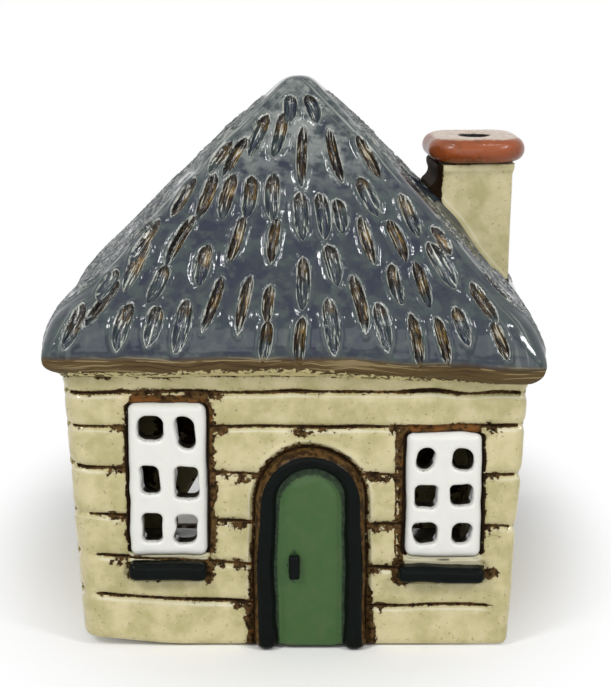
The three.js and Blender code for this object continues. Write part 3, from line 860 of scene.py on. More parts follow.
@dataclass
class Door:
    """The arched green door, the black coil round it and its small pull."""

    spring: float = 31.5
    skirt: float = 0.5

    def __post_init__(self) -> None:
        """Finds the door's pieces in the construction model."""
        self.low, self.high = node_box("door_panel")
        self.coil_low, self.coil_high = node_box("door_surround")
        self.pull_low, self.pull_high = node_box("door_handle")
        self.middle = (self.low[0] + self.high[0]) / 2
        self.half = (self.high[0] - self.low[0]) / 2
        self.coil_half = (self.coil_high[0] - self.coil_low[0]) / 2
        self.coil_width = self.coil_half - self.half
        self.wall = self.high[1]

    def arch(self, p: Array, half: float) -> Array:
        """Measures from an arch that stands on the ground and shares the door's middle.

        Args:
            p: places in millimetres.
            half: half the arch's width.

        Returns:
            The distance, less than zero under the arch.
        """
        wave = 0.30 * Lumps(41, 9.0).at(p * (1, 0, 1))
        u, v = p[:, 0] - self.middle, p[:, 2] - self.spring
        return np.where(v > 0, np.hypot(u, v), np.abs(u)) - half + wave

    def around(self, p: Array) -> Array:
        """Returns the distance outwards from the coil's outer edge."""
        return self.arch(p, self.coil_half)

    def panel_distance(self, p: Array) -> Array:
        """Returns the distance from the door: a slab, slightly crowned, under the coil's inner half."""
        edge = self.arch(p, self.half + 1.2)
        crown = self.low[1] + 0.5 * ramp(self.arch(p, self.half), -3.2, 0.2)
        thick = np.maximum(crown - p[:, 1], p[:, 1] - self.wall - 0.3)
        foot = self.low[2] - p[:, 2]
        return smooth_max(smooth_max(edge, thick, 0.6), foot, 0.6)

    def panel_relief(self, p: Array, facing: Array) -> Array:
        """Returns the door's relief: a faint pressed line inside its edge, and boards."""
        line = -0.14 * hill(self.arch(p, self.half - 1.0), 0.35)
        boards = -0.05 * hill(np.abs(p[:, 0] - self.middle) - 2.3, 0.25)
        return line + boards + 0.08 * Lumps(44, 4.0).at(p)

    def panel_marks(self, p: Array, facing: Array) -> dict[str, Array]:
        """Returns where black glaze has bled into the green: along the coil and round the pull."""
        edge = self.arch(p, self.half)
        top = 1.0 + 1.3 * ramp(p[:, 2], self.spring - 4, self.spring + 6)
        bleed = 0.95 * ramp(edge / top, -1.0, 0.0)
        pull_middle = (self.pull_low[2] + self.pull_high[2]) / 2
        pull = np.hypot(p[:, 0] - self.pull_low[0] - 1, 0.4 * (p[:, 2] - pull_middle))
        return {"worn": np.maximum(bleed, 0.55 * ramp(-pull, -2.2, -1.0))}

    def coil_distance(self, p: Array) -> Array:
        """Returns the distance from the coil: a round rope of clay with wider feet."""
        half_width = self.coil_width / 2 + 0.35 * ramp(-p[:, 2], -7, -1)
        middle = self.arch(p, self.half + self.coil_width / 2)
        proud = self.wall - self.coil_low[1]
        deep = (p[:, 1] - self.wall) / proud
        rope = np.sqrt(middle**2 + (deep * half_width) ** 2) - half_width
        foot = -p[:, 2] + 0.25
        return np.maximum(smooth_max(rope, foot, 1.6), p[:, 1] - self.wall - 0.5)

    def coil_marks(self, p: Array, facing: Array) -> dict[str, Array]:
        """Returns where the black has run off the coil's outer shoulder: more of it higher up."""
        reach = 0.6 + 0.5 * ramp(p[:, 2], self.spring - 14, self.spring + 2)
        return {"worn": 0.9 * ramp(self.around(p) + reach, -0.3, 0.2)}

    def pull_distance(self, p: Array) -> Array:
        """Returns the distance from the pull: a small upright bar with a notched top."""
        middle, half = (self.pull_low + self.pull_high) / 2, (self.pull_high - self.pull_low) / 2
        bar = plan_distance(p[:, 0] - middle[0], p[:, 2] - middle[2], half[0], half[2] - 0.1, 0.5)
        notch = 0.35 - np.hypot(p[:, 0] - middle[0], p[:, 2] - self.pull_high[2])
        return smooth_max(smooth_max(bar, notch, 0.3), np.abs(p[:, 1] - middle[1]) - half[1], 0.7)

    def build(self) -> None:
        """Makes the door, the coil and the pull."""
        room = np.array([1.5, 0.4, 0])
        panel = Clay(
            "green_door", ("door_panel",), self.panel_distance, self.low - room,
            self.high + room + (0, 0, 1.5), 0.30, self.panel_relief, self.panel_marks, "green_glaze",
        )
        dress(panel.cast(), Finish.GREEN)
        coil = Clay(
            "door_coil", ("door_surround",), self.coil_distance, self.coil_low - (0.6, 0, 0.4),
            self.coil_high + (0.6, 0.6, 0.4), 0.28,
            lambda p, facing: 0.12 * Lumps(47, 3.5).at(p),
            self.coil_marks, "black_glaze",
        )
        dress(coil.cast(), Finish.BLACK)
        pull = Clay(
            "door_pull", ("door_handle",), self.pull_distance, self.pull_low, self.pull_high, 0.16,
            None, lambda p, facing: {"worn": 0.30 * ramp(p[:, 2], self.pull_high[2] - 1, self.pull_high[2])},
            "black_glaze",
        )
        dress(pull.cast(), Finish.BLACK)


@dataclass
class Walls:
    """The four walls and the floor, marked out as plank courses by pressed lines."""

    windows: tuple[WindowTile, WindowTile]
    door: Door
    # Height of each pressed line at the left corner, the middle and the right corner
    lines: tuple[tuple[float, float, float], ...] = (
        (11.8, 9.4, 9.1), (20.2, 17.8, 16.3), (28.9, 26.9, 25.8),
        (39.0, 37.2, 37.2), (47.3, 47.1, 47.4), (54.2, 54.5, 54.2),
    )
    left_corner: float = 4.2
    right_corner: float = 1.8
    fuller: tuple[float, float] = (0.4, 1.0)
    arch_top: float = 32.0
    arch_half: float = 30.0
    margin: float = 1.1
    tuck: float = 1.6

    def __post_init__(self) -> None:
        """Finds the walls in the construction model."""
        self.front_low, self.front_high = node_box("front_wall")
        self.thick = self.front_high[1] - self.front_low[1]
        self.head_half = self.front_high[0]
        self.foot_half = self.thick - node_box("left_wall")[1][0]
        self.half_depth = -self.front_low[1]
        self.height = self.front_high[2]
        self.floor_low, self.floor_high = node_box("floor_slab")
        self.hands = Lumps(11, 13.0)
        self.fingers = Lumps(12, 4.5)

    def half_width(self, z: Array) -> Array:
        """Returns half the house's width at a height: the side walls lean out to the eave."""
        return self.foot_half + (self.head_half - self.foot_half) * np.clip(z / self.height, 0, 1.1)

    def swell(self, p: Array) -> Array:
        """Returns how much fuller than drawn each side wall was thrown, the right one more."""
        return np.interp(p[:, 0], (-10, 10), self.fuller)

    def line_height(self, index: int, p: Array) -> Array:
        """Returns the height of one pressed line round the whole house, with its wander."""
        left, middle, right = self.lines[index]
        across = p[:, 0] / self.foot_half
        level = middle + (right - left) / 2 * across + ((left + right) / 2 - middle) * across**2
        behind = (p[:, 1] + self.half_depth) / (2 * self.half_depth)
        level = level + 1.3 * math.sin(2.3 * index + 1) * behind
        return level + 0.35 * Lumps(20 + index, 7.0).at(p * (1, 1, 0))

    def from_lines(self, p: Array) -> tuple[Array, Array]:
        """Finds the nearest pressed line.

        Args:
            p: places in millimetres.

        Returns:
            The height above the nearest line, and how strongly that line is pressed there.
        """
        nearest = np.full(len(p), FAR)
        strength = np.ones(len(p))
        on_front = ramp(-p[:, 1], self.half_depth - 3, self.half_depth - 1)
        for index in range(len(self.lines)):
            above = p[:, 2] - self.line_height(index, p)
            pressed = 0.85 + 0.3 * Lumps(60 + index, 6.0).at(p * (1, 1, 0))
            if index < 2:
                fade = ramp(np.abs(p[:, 0]), self.foot_half - 4.5, self.foot_half - 1.0)
                pressed = pressed * (1 - on_front * fade)
            closer = np.abs(above) < np.abs(nearest)
            nearest = np.where(closer, above, nearest)
            strength = np.where(closer, pressed, strength)
        return nearest, strength

    def outside(self, p: Array) -> Array:
        """Returns the distance from the outside of the four walls."""
        front = p[:, 1] < 0
        radius = np.where(front & (p[:, 0] > 0), self.right_corner, self.left_corner)
        half = self.half_width(p[:, 2]) + self.swell(p)
        plan = plan_distance(p[:, 0], p[:, 1], half, self.half_depth, radius)
        flare = 0.1 + 0.4 * ramp(p[:, 0], -44, -20)
        plan = plan - flare * hill(np.maximum(self.height - 0.2 - p[:, 2], 0), 1.4)
        lift = 0.25 + 1.5 * ramp(-p[:, 0], 22, 44) * ramp(-p[:, 1], 10, 36)
        return smooth_max(plan, lift - p[:, 2], 1.7)

    def around_openings(self, p: Array) -> Array:
        """Returns the distance along the front from the nearest tile, sill or door."""
        ring = self.door.around(p)
        for window in self.windows:
            ring = np.minimum(ring, window.outline(p))
            ring = np.minimum(ring, window.sill_outline(p) + 0.5)
        return np.where(p[:, 1] < 0, ring, FAR)

    def arch(self, p: Array) -> Array:
        """Returns the distance from the low arch in the back wall, less than zero in it."""
        floor = self.floor_high[2]
        top = floor + self.arch_top * (1 - (p[:, 0] / self.arch_half) ** 2)
        steep = np.sqrt(1 + (2 * self.arch_top * p[:, 0] / self.arch_half**2) ** 2)
        return np.maximum((p[:, 2] - top) / steep, floor - p[:, 2])

    def front_distance(self, p: Array) -> Array:
        """Returns the distance from the front wall, with the holes for the window tiles."""
        wall = np.maximum(self.outside(p), p[:, 1] - self.front_high[1])
        for window in self.windows:
            wall = smooth_max(wall, 0.1 - window.outline(p), 0.8)
        return wall

    def back_distance(self, p: Array) -> Array:
        """Returns the distance from the back wall, with its arch."""
        wall = np.maximum(self.outside(p), -self.front_high[1] - p[:, 1])
        return smooth_max(wall, -self.arch(p), 2.0)

    def side_distance(self, side: int) -> Distance:
        """Makes the distance function of a side wall.

        Args:
            side: -1 for the left wall, 1 for the right.

        Returns:
            The function. The wall's ends tuck under the corners of the front and back walls.
        """

        def distance(p: Array) -> Array:
            """Returns the distance from this side wall."""
            inner_end = -self.front_high[1]
            past = ramp(np.abs(p[:, 1]), inner_end - 0.2, inner_end + 0.8)
            outer = self.outside(p) + 0.5 * past
            inner = self.half_width(p[:, 2]) - self.thick - side * p[:, 0]
            return np.maximum(np.maximum(outer, inner), np.abs(p[:, 1]) - inner_end - self.tuck)

        return distance

    def relief(self, p: Array, facing: Array) -> Array:
        """Returns how far the wall stands out: pressed lines, round courses, worn margins."""
        above, strength = self.from_lines(p)
        outward = ramp(np.maximum(np.abs(facing[:, 0]), np.abs(facing[:, 1])), 0.5, 0.85)
        on_skin = outward * ramp(self.outside(p), -1.2, -0.2)
        sharp = 0.60 * hill(above, 0.36)
        shoulder = 0.50 * hill(above, 1.15)
        ring = self.around_openings(p)
        margin = 0.55 * (1 - ramp(ring, self.margin - 0.6, self.margin + 0.5))
        arch_ridge = 0.45 * hill(self.door.around(p) - 1.1, 0.7) * (p[:, 1] < 0)
        hands = 0.22 * self.hands.at(p) + 0.12 * self.fingers.at(p) - 0.1
        near_opening = ramp(ring, 0.3, 1.2)
        pressed = (sharp + shoulder) * strength * near_opening
        return on_skin * (hands - pressed - margin + arch_ridge)

    def marks(self, p: Array, facing: Array) -> dict[str, Array]:
        """Returns what the beige glaze reads: how near the stain is, how deep, and lit edges."""
        above, strength = self.from_lines(p)
        on_front = ramp(-p[:, 1], self.half_depth - 3, self.half_depth - 1)
        beyond = self.half_width(p[:, 2]) + self.swell(p) - np.abs(p[:, 0])
        on_left = 0.7 + 2.2 * ramp(-p[:, 2], -38, -30)
        reach = np.where(p[:, 0] < 0, on_left, 0.8 + 2.0 * ramp(-p[:, 2], -22, -18))
        fade = ramp(-beyond, -reach - 0.8, -reach + 0.8) * ramp(-p[:, 1], 31, 36)
        line = np.abs(above) - 0.40 * strength + 1.2 * fade
        drip = np.where(above < 0, 0.6, 1.3) * np.abs(above) + 0.22 + 1.5 * fade
        ring = self.around_openings(p)
        door_ring = np.where(p[:, 1] < 0, self.door.around(p), FAR)
        ends = np.where(on_front > 0.5, np.maximum(drip - 0.8, ring - 4.0), FAR)
        left_tile, right_tile = self.windows
        inward = ramp(p[:, 0] - left_tile.high[0], -1, 0) * ramp(right_tile.low[0] - p[:, 0], -1, 0)
        inward = inward * (door_ring > 3)
        stain = np.minimum(drip, np.minimum(ring - 0.65 - 1.3 * inward, ends))
        foot_wash = 1.6 * ramp(-p[:, 2], -20, -2)
        stain = np.minimum(stain, door_ring - 0.6 - foot_wash)
        stain = np.minimum(stain, self.height - p[:, 2] + 0.3)
        inside = self.outside(p) < -2.0
        stain = np.where(inside, -1.5 + 3.0 * ramp(self.fingers.at(p), -1, 1), stain)
        line = np.where(inside, 4.0, line)
        line = np.minimum(line, np.abs(door_ring - 0.35) - 0.25)
        level = np.abs(p[:, 2] - right_tile.middle[2]) < right_tile.half[2]
        beside_right = inward * (p[:, 0] > 0) * level
        line = np.where(beside_right > 0.5, np.minimum(line, np.abs(ring - 2.1) - 0.2), line)
        arch = np.where(p[:, 1] > 0, self.arch(p) - 0.4, FAR)
        stain = np.minimum(stain, arch)
        amber = np.zeros(len(p))
        for window in self.windows:
            over = p[:, 2] - window.high[2]
            beside = np.abs(p[:, 0] - window.middle[0]) - window.half[0]
            strip = ramp(-np.abs(over - 0.7), -0.9, -0.5) * ramp(-beside, 0, 1.0)
            amber = np.maximum(amber, strip * (p[:, 1] < 0))
        stain = stain - 2.5 * amber
        bead = self.sill_bead(p)
        stain = stain + 3.5 * bead
        amber = np.maximum(amber, 0.25 * hill(door_ring - 0.9, 0.5) * ramp(p[:, 2], 12, 30))
        deep = np.maximum(hill(above, 0.30) * strength, hill(ring - 0.15, 0.35))
        deep = deep * (1 - amber) * (1 - bead)
        # Painted highlight along the rounded top of each plank course, just under its pressed line
        edge = hill(above + 0.95, 0.42) * strength * ramp(ring, 1.6, 2.4)
        edge = np.maximum(edge, 0.8 * hill(door_ring - 1.35, 0.3) * ramp(p[:, 2], 4, 14))
        edge = np.maximum(edge, bead)
        return {
            "stain": stain.clip(-4, 8), "line": line.clip(-4, 8), "deep": deep, "edge": edge, "amber": amber
        }

    def sill_bead(self, p: Array) -> Array:
        """Returns 1 on the thin bead of pale glaze between each tile and its sill."""
        bead = np.zeros(len(p))
        for window in self.windows:
            z = p[:, 2]
            between = (z > window.sill_high[2] - 0.7) & (z < window.low[2] + 0.5) & (p[:, 1] < 0)
            beside = np.abs(p[:, 0] - window.middle[0]) - window.half[0]
            bead = np.maximum(bead, between * ramp(-beside, -0.6, 0.4))
        return bead

    def build(self) -> None:
        """Makes the four walls and the floor."""
        top = np.array([0, 0, 0.5])
        pieces = (
            ("planked_front_wall", "front_wall", self.front_distance, 0.38, 0.0),
            ("planked_back_wall", "back_wall", self.back_distance, 0.46, 0.0),
            ("planked_left_wall", "left_wall", self.side_distance(-1), 0.46, self.tuck),
            ("planked_right_wall", "right_wall", self.side_distance(1), 0.46, self.tuck),
        )
        for name, node, distance, step, tuck in pieces:
            low, high = node_box(node)
            grow = np.array([2.2, 1.3 + tuck, 0])
            high = high + top + grow

            def capped(p: Array, distance: Distance = distance, ceiling: float = high[2]) -> Array:
                """Returns the wall's distance, cut off just inside the roof's rim."""
                return np.maximum(distance(p), p[:, 2] - ceiling)

            wall = Clay(name, (node,), capped, low - grow, high, step, self.relief, self.marks, "beige_glaze")
            dress(wall.cast(), Finish.BEIGE)
        floor = Clay(
            "floor_tile", ("floor_slab",), self.floor_distance, self.floor_low, self.floor_high, 0.8,
            lambda p, facing: 0.12 * self.fingers.at(p) - 0.12,
            lambda p, facing: {"worn": 0.4 * ramp(self.hands.at(p), -0.5, 1)}, "bare_clay",
        )
        dress(floor.cast(), Finish.BARE)

    def floor_distance(self, p: Array) -> Array:
        """Returns the distance from the floor slab, which leans out with the side walls."""
        grow = 0.25
        half_x = self.half_width(p[:, 2]) - self.thick + grow
        half_y = self.floor_high[1] + grow
        plan = plan_distance(p[:, 0], p[:, 1], half_x, half_y, 0.5)
        middle = (self.floor_low[2] + self.floor_high[2]) / 2
        return smooth_max(plan, np.abs(p[:, 2] - middle) - (self.floor_high[2] - middle) + 0.05, 0.6)


@dataclass(frozen=True)
class Mark:
    """One carved mark of the thatch: a pointed gouge lying down the slope."""

    centre: Array
    down: Array
    across: Array
    half_length: float
    half_width: float
    depth: float
    lot: float


class Side(Enum):
    """The roof's four slopes: the outward direction of each in plan."""

    FRONT = (0, -1)
    RIGHT = (1, 0)
    BACK = (0, 1)
    LEFT = (-1, 0)


@dataclass
class Roof:
    """The hollow hipped roof, with its bull-nosed eave and the gouges that stand for thatch."""

    nose: float = 6.0
    nose_turn: float = 10.0
    undercut: float = 3.4
    bulge: float = 0.85
    crest_half: float = 4.3
    crest_drop: float = 1.9
    crest_lean: float = 0.9
    thick: float = 4.5
    flue: float = 3.5
    # Rows of marks on the front slope: drop below the crest, then each mark's place and length
    rows: tuple[tuple[float, tuple[tuple[float, float], ...]], ...] = (
        (6.3, ((-0.8, 7), (4, 7.5))),
        (11.5, ((-7.5, 11), (-3, 11))),
        (15.5, ((-18.5, 8.5), (-12.4, 10), (1.6, 14), (8.4, 12.5), (16.2, 11))),
        (23, ((-25, 10.5), (-17.8, 11.5), (-13.8, 11.5), (-9, 10.5), (-4.5, 11.5), (15.3, 10.5))),
        (26.5, ((1.6, 11.5), (6.1, 11), (9.6, 8), (23.7, 10.5))),
        (31, ((-33, 10.5), (-23.4, 12), (-11.6, 11), (-4.2, 10), (14.8, 11), (21.3, 10), (32, 7.5))),
        (35.5, ((-32, 13), (-18.4, 10), (8, 10), (30, 12))),
        (39, ((-41, 8.5), (-27.2, 9.7), (2, 12.5), (20.4, 9.5), (26, 10.5))),
        (42, ((-38.3, 11.6), (-16, 12.4), (-10, 13), (-5.1, 9), (13.4, 13.5), (38.1, 10.5))),
        (46, ((-44.6, 11), (-34.1, 10.8), (-27.8, 9), (-22.1, 12), (7.6, 12), (17.8, 10.4), (33.5, 8.6))),
        (49, ((-5.5, 8), (1.2, 9.4), (24.6, 10.6), (29.8, 9.7), (41.2, 8))),
    )
    half_width: float = 1.25
    depth: float = 1.4
    hip_margin: float = 3.0
    stack_clear: float = 13.0
    stack_half: float = 7.5
    eave_points: int = 18
    slope_samples: int = 400
    # How a mark leans away from the middle, and how far hands wander from the rows
    fan_spread: float = 1.3
    fan_start: float = 1.5
    fan_share: float = 0.72
    wander_across: float = 0.8
    wander_up: float = 1.2
    wander_turn: float = 5.0
    longer: float = 1.06
    wander_length: float = 0.06
    wider: float = 1.08
    wander_width: float = 0.16
    wander_depth: float = 0.15
    lots: float = 25.0
    mark_stride: float = 12.9898
    size_stride: float = 78.233

    def __post_init__(self) -> None:
        """Finds the roof in the construction model and lays out its marks."""
        self.low, self.high = node_box("roof")
        self.rim = self.low[2]
        self.half = self.high[:2] - (0.46, 0.62)
        self.top = self.high[2] + 0.4
        cap_low, cap_high = node_box("chimney_cap")
        self.flue_at = (cap_low + cap_high) / 2
        self.tables = [self.profile_table(half) for half in self.half]
        self.hands = Lumps(81, 15.0)
        self.fingers = Lumps(82, 5.0)
        self.line = self.profile(self.half[0])
        self.gouges = self.lay_out()

    def profile(self, half: float) -> Array:
        """Draws the roof's profile from its rim to its crest.

        Args:
            half: half the roof's width on this axis.

        Returns:
            Points of half width against height, in millimetres.
        """
        centre = np.array([half - self.nose, self.rim + self.nose])
        turn = math.radians(self.nose_turn)
        foot = centre + self.nose * np.array([math.cos(turn), math.sin(turn)])
        low = np.array([half, self.rim + self.nose - 1])
        join = np.array([half - self.undercut, self.rim + 0.6])
        under = self.curve(join, np.array([half + 0.1, self.rim + 2.0]), low)
        crest = np.array([self.crest_half * half / self.half[0], self.top - self.crest_drop])
        along = crest - foot
        outward = np.array([along[1], -along[0]]) / np.linalg.norm(along)
        swell = (foot + crest) / 2 + 2 * self.bulge * outward
        slope = self.curve(foot, swell, crest)
        bend = self.curve(low, foot, foot + 0.4 * (slope[1] - foot))[::4]
        end = crest - swell
        shoulder = np.array([crest[0] + end[0] * self.crest_drop / end[1], self.top])
        tip = self.curve(crest, shoulder, np.array([0.0, self.top]))
        foot_line = np.array([[0.0, self.rim], [half - self.undercut, self.rim]])
        return np.concatenate([foot_line, under, bend[1:], slope[1:], tip[1:]])

    @staticmethod
    def curve(start: Array, pull: Array, end: Array) -> Array:
        """Returns points on the curve from start to end that is pulled towards a third point."""
        t = np.linspace(0, 1, 13)[:, None]
        return (1 - t) ** 2 * start + 2 * t * (1 - t) * pull + t**2 * end

    def profile_table(self, half: float) -> tuple[Array, float, float]:
        """Measures the distance from a profile over a grid of half widths and heights.

        Args:
            half: half the roof's width on this axis.

        Returns:
            The table, its lowest height and its spacing.
        """
        line = self.profile(half)
        step, base = 0.25, self.rim - 3
        widths, heights = np.arange(0, half + 4, step), np.arange(base, self.top + 4, step)
        r, z = np.meshgrid(widths, heights, indexing="ij")
        points = np.stack([r.ravel(), z.ravel()], axis=1)
        best = np.full(len(points), 1e9)
        inside = np.zeros(len(points), bool)
        for a, b in zip(line[:-1], line[1:]):
            run = b - a
            t = np.clip((points - a) @ run / (run @ run), 0, 1)
            best = np.minimum(best, np.linalg.norm(points - a - t[:, None] * run, axis=1))
            spans = (a[1] > points[:, 1]) != (b[1] > points[:, 1])
            cut = a[0] + run[0] * (points[:, 1] - a[1]) / (run[1] if run[1] else 1e-9)
            inside ^= spans & (points[:, 0] < cut)
        return np.where(inside, -best, best).reshape(r.shape), base, step

    def from_profile(self, axis: int, p: Array) -> Array:
        """Returns the distance from the roof's profile on the X or Y axis."""
        table, base, step = self.tables[axis]
        r = np.clip(np.abs(p[:, axis]) / step, 0, table.shape[0] - 1.001)
        z = np.clip((p[:, 2] - base) / step, 0, table.shape[1] - 1.001)
        i, j = r.astype(int), z.astype(int)
        u, v = r - i, z - j
        low = table[i, j] * (1 - u) + table[i + 1, j] * u
        high = table[i, j + 1] * (1 - u) + table[i + 1, j + 1] * u
        return low * (1 - v) + high * v

    def upright(self, p: Array) -> Array:
        """Takes out the roof's lean to the right and the droop of its right front eave.

        Args:
            p: places in millimetres.

        Returns:
            The same places in a roof that stands straight.
        """
        straight = p.copy()
        straight[:, 0] -= self.crest_lean * (p[:, 2] - self.rim) / (self.top - self.rim)
        droop = 2.2 * ramp(p[:, 0], 0, 48) * ramp(-p[:, 1], -30, 30)
        straight[:, 2] += droop * ramp(-p[:, 2], -self.rim - 24, -self.rim - 5)
        return straight

    def skin(self, p: Array) -> Array:
        """Returns the distance from the roof's outside."""
        q = self.upright(p)
        fallen = np.clip((self.top - q[:, 2]) / (self.top - self.rim), 0, 1)
        blend = 0.7 + 5.6 * fallen * (1 - 0.92 * ramp(fallen, 0.80, 0.95))
        in_front = ramp(-q[:, 1], -10, 25)
        brow = (0.3 + 1.6 * in_front) * hill(q[:, 2] - self.rim - 12.7, 4.8)
        from_stack = np.max(np.abs(p[:, :2] - self.flue_at[:2]), axis=1) - self.stack_half
        brow = brow + 1.4 * ramp(p[:, 2], 74, 86) * hill(np.maximum(from_stack, 0), 3.0)
        return smooth_max(self.from_profile(0, q), self.from_profile(1, q), blend) - brow

    def hollow(self, p: Array) -> Array:
        """Returns the distance from the space inside, less than zero in it."""
        wall_low, wall_high = node_box("front_wall")
        foot = np.array([wall_high[0] - (wall_high[1] - wall_low[1]), -wall_high[1]])
        rise = self.top - self.crest_drop - self.rim - self.nose
        fall = rise / (self.half[0] - self.crest_half)
        ceiling = self.top - self.crest_drop - self.thick * math.hypot(1, fall)
        room = np.clip((ceiling - p[:, 2]) / fall + self.crest_half, 0, foot[0])
        steep = 1 / math.hypot(1, 1 / fall)
        lean = self.crest_lean * (p[:, 2] - self.rim) / (self.top - self.rim)
        across = (np.abs(p[:, 0] - lean) - room) * steep
        deep = (np.abs(p[:, 1]) - room * foot[1] / foot[0]) * steep
        return smooth_max(smooth_max(across, deep, 4.0), p[:, 2] - ceiling, 2.0)

    def distance(self, p: Array) -> Array:
        """Returns the distance from the hollow roof, with the flue's hole."""
        shell = smooth_max(self.skin(p), -self.hollow(p), 1.0)
        flue = np.hypot(p[:, 0] - self.flue_at[0], p[:, 1] - self.flue_at[1]) - self.flue
        bore = np.maximum(flue, self.rim + self.nose + 2 - p[:, 2])
        return np.maximum(shell, -bore)

    def on_slope(self, out: Array, across: float, height: float) -> Array:
        """Finds a point of the roof's skin.

        Args:
            out: the way the slope faces in plan.
            across: how far from the slope's middle line, along the eave.
            height: the point's height.

        Returns:
            The point, in millimetres.
        """
        reach = np.linspace(0, self.half[0] + 1, self.slope_samples)
        line = np.empty((self.slope_samples, 3))
        line[:, :2] = reach[:, None] * out + across * np.array([-out[1], out[0]])
        line[:, 2] = height
        return line[np.argmin(np.abs(self.skin(line)))]

    def stray(self, number: int, kind: int) -> float:
        """Returns how far the hand that cut a mark strayed, from -1 to 1, for one of its sizes."""
        return math.sin(self.mark_stride * number + self.size_stride * kind)

    def lay_out(self) -> list[Mark]:
        """Lays the marks out on the four slopes, fanned from the crest, each a little different.

        Returns:
            The marks, in the places where the construction model has them.
        """
        marks = []
        number = 0
        crest = self.high[2]
        slope = self.line[self.eave_points:]
        for side in Side:
            out = np.array(side.value, float)
            wide = self.half[1] / self.half[0] if out[0] else 1.0
            flip = 1 if side in (Side.FRONT, Side.LEFT) else -1
            loose = 0 if side is Side.FRONT else 1
            for drop, row in self.rows:
                for place, length in row:
                    number += 1
                    z = crest - drop + self.wander_up * loose * self.stray(number, 2)
                    limit = wide * np.interp(z, slope[:, 1], slope[:, 0]) - self.hip_margin
                    wanted = flip * place * wide + self.wander_across * loose * self.stray(number, 1)
                    across = float(np.clip(wanted, -limit, limit))
                    centre = self.on_slope(out, across, z)
                    if np.max(np.abs(centre[:2] - self.flue_at[:2])) <= self.stack_clear:
                        continue
                    marks.append(self.gouge(out, centre, across, length, number))
        return marks

    def gouge(self, out: Array, centre: Array, across: float, length: float, number: int) -> Mark:
        """Sizes and turns one mark.

        Args:
            out: the way the slope faces in plan.
            centre: the mark's middle.
            across: how far it lies from the slope's middle line.
            length: its length.
            number: its number, from which its strays are drawn.

        Returns:
            The mark.
        """
        below = self.on_slope(out, across, centre[2] - 1) - centre
        down = below / np.linalg.norm(below)
        beside = np.array([-out[1], out[0], 0.0])
        fan = math.atan2(across, self.fan_spread * (self.high[2] - centre[2]) + self.fan_start)
        lean = self.fan_share * fan + math.radians(self.wander_turn) * self.stray(number, 3)
        return Mark(
            centre,
            math.cos(lean) * down + math.sin(lean) * beside,
            math.cos(lean) * beside - math.sin(lean) * down,
            length / 2 * (self.longer + self.wander_length * self.stray(number, 4)),
            self.wider * self.half_width * (1 + self.wander_width * self.stray(number, 5)),
            self.depth * (1 + self.wander_depth * self.stray(number, 6)),
            self.lots + self.lots * self.stray(number, 7),
        )

    def read_marks(self, p: Array) -> dict[str, Array]:
        """Measures every point against the carved marks.

        Args:
            p: places in millimetres.

        Returns:
            The distance outwards from the nearest mark's edge, the places across and along it,
            its lot, and how deep it is cut.
        """
        found = {
            "cut": np.full(len(p), 3.0), "across": np.zeros(len(p)),
            "along": np.zeros(len(p)), "lot": np.zeros(len(p)), "depth": np.zeros(len(p)),
        }
        for mark in self.gouges:
            gap = p - mark.centre
            near = np.flatnonzero((gap**2).sum(axis=1) < (mark.half_length + 3) ** 2)
            along = gap[near] @ mark.down
            across = gap[near] @ mark.across
            bend = 0.35 * (along / mark.half_length) ** 2 * math.sin(mark.lot)
            across = across - bend
            t = along / mark.half_length
            blunt = np.where(t < 0, np.abs(t) ** 5.0, np.abs(t) ** 3.0)
            width = mark.half_width * np.maximum(1 - blunt, 0)
            past = np.maximum(np.abs(along) - mark.half_length, 0)
            edge = np.where(past > 0, np.hypot(across, past), np.abs(across) - width)
            deep = mark.depth * np.sqrt(np.maximum(1 - blunt, 0))
            deep = deep * (1 - np.clip(np.abs(across) / np.maximum(width, 0.05), 0, 1) ** 2.2)
            closer = edge < found["cut"][near]
            chosen = near[closer]
            found["cut"][chosen] = edge[closer]
            found["across"][chosen] = across[closer]
            found["along"][chosen] = along[closer]
            found["lot"][chosen] = mark.lot
            found["depth"][near] = np.maximum(found["depth"][near], deep)
        return found

    def outer_share(self, p: Array) -> Array:
        """Returns 1 on the roof's outside and 0 on its inside."""
        return ramp(self.skin(p), -2.0, -0.5)

    def relief(self, p: Array, facing: Array) -> Array:
        """Returns how far the skin stands out: hand lumps, cut marks and their raised lips."""
        found = self.read_marks(p)
        lip = (0.32 + 0.25 * ramp(p[:, 2], 94, 104)) * hill(found["cut"] - 0.36, 0.42)
        lumps = 0.28 * self.hands.at(p) + 0.13 * self.fingers.at(p) - 0.24
        under = ramp(-p[:, 2], -self.rim - 6, -self.rim - 4)
        smear = 0.16 * Lumps(83, 1.6).at(p * (0.12, 0.12, 1)) * under
        return self.outer_share(p) * (lumps - found["depth"] + lip + smear)

    def skirt(self, p: Array) -> Array:
        """Returns the height above the ragged line where the walls' beige glaze laps the eave."""
        front = np.interp(p[:, 0], (-50, -25, 0, 22, 50), (0.9, 2.0, 2.5, 0.5, -1.6))
        behind = 0.6 + 0.9 * np.sin((p[:, 0] + p[:, 1]) / 13)
        share = ramp(-p[:, 1], 34, 40)
        return p[:, 2] - self.rim - share * front - (1 - share) * behind

    def marks(self, p: Array, facing: Array) -> dict[str, Array]:
        """Returns what the slate glaze reads."""
        found = self.read_marks(p)
        outer = self.outer_share(p)
        beside_hip = (np.abs(p[:, 0]) / self.half[0] - np.abs(p[:, 1]) / self.half[1]) * 34
        round_house = np.where(
            np.abs(p[:, 0]) / self.half[0] > np.abs(p[:, 1]) / self.half[1], p[:, 1] + 200, p[:, 0]
        )
        return {
            "cut": found["cut"] + 4 * (1 - outer),
            "across": found["across"],
            "along": found["along"],
            "lot": found["lot"],
            "hip": beside_hip,
            "low": self.upright(p)[:, 2] - self.rim,
            "skirt": self.skirt(p),
            "round": round_house,
            "inner": 1 - outer,
        }

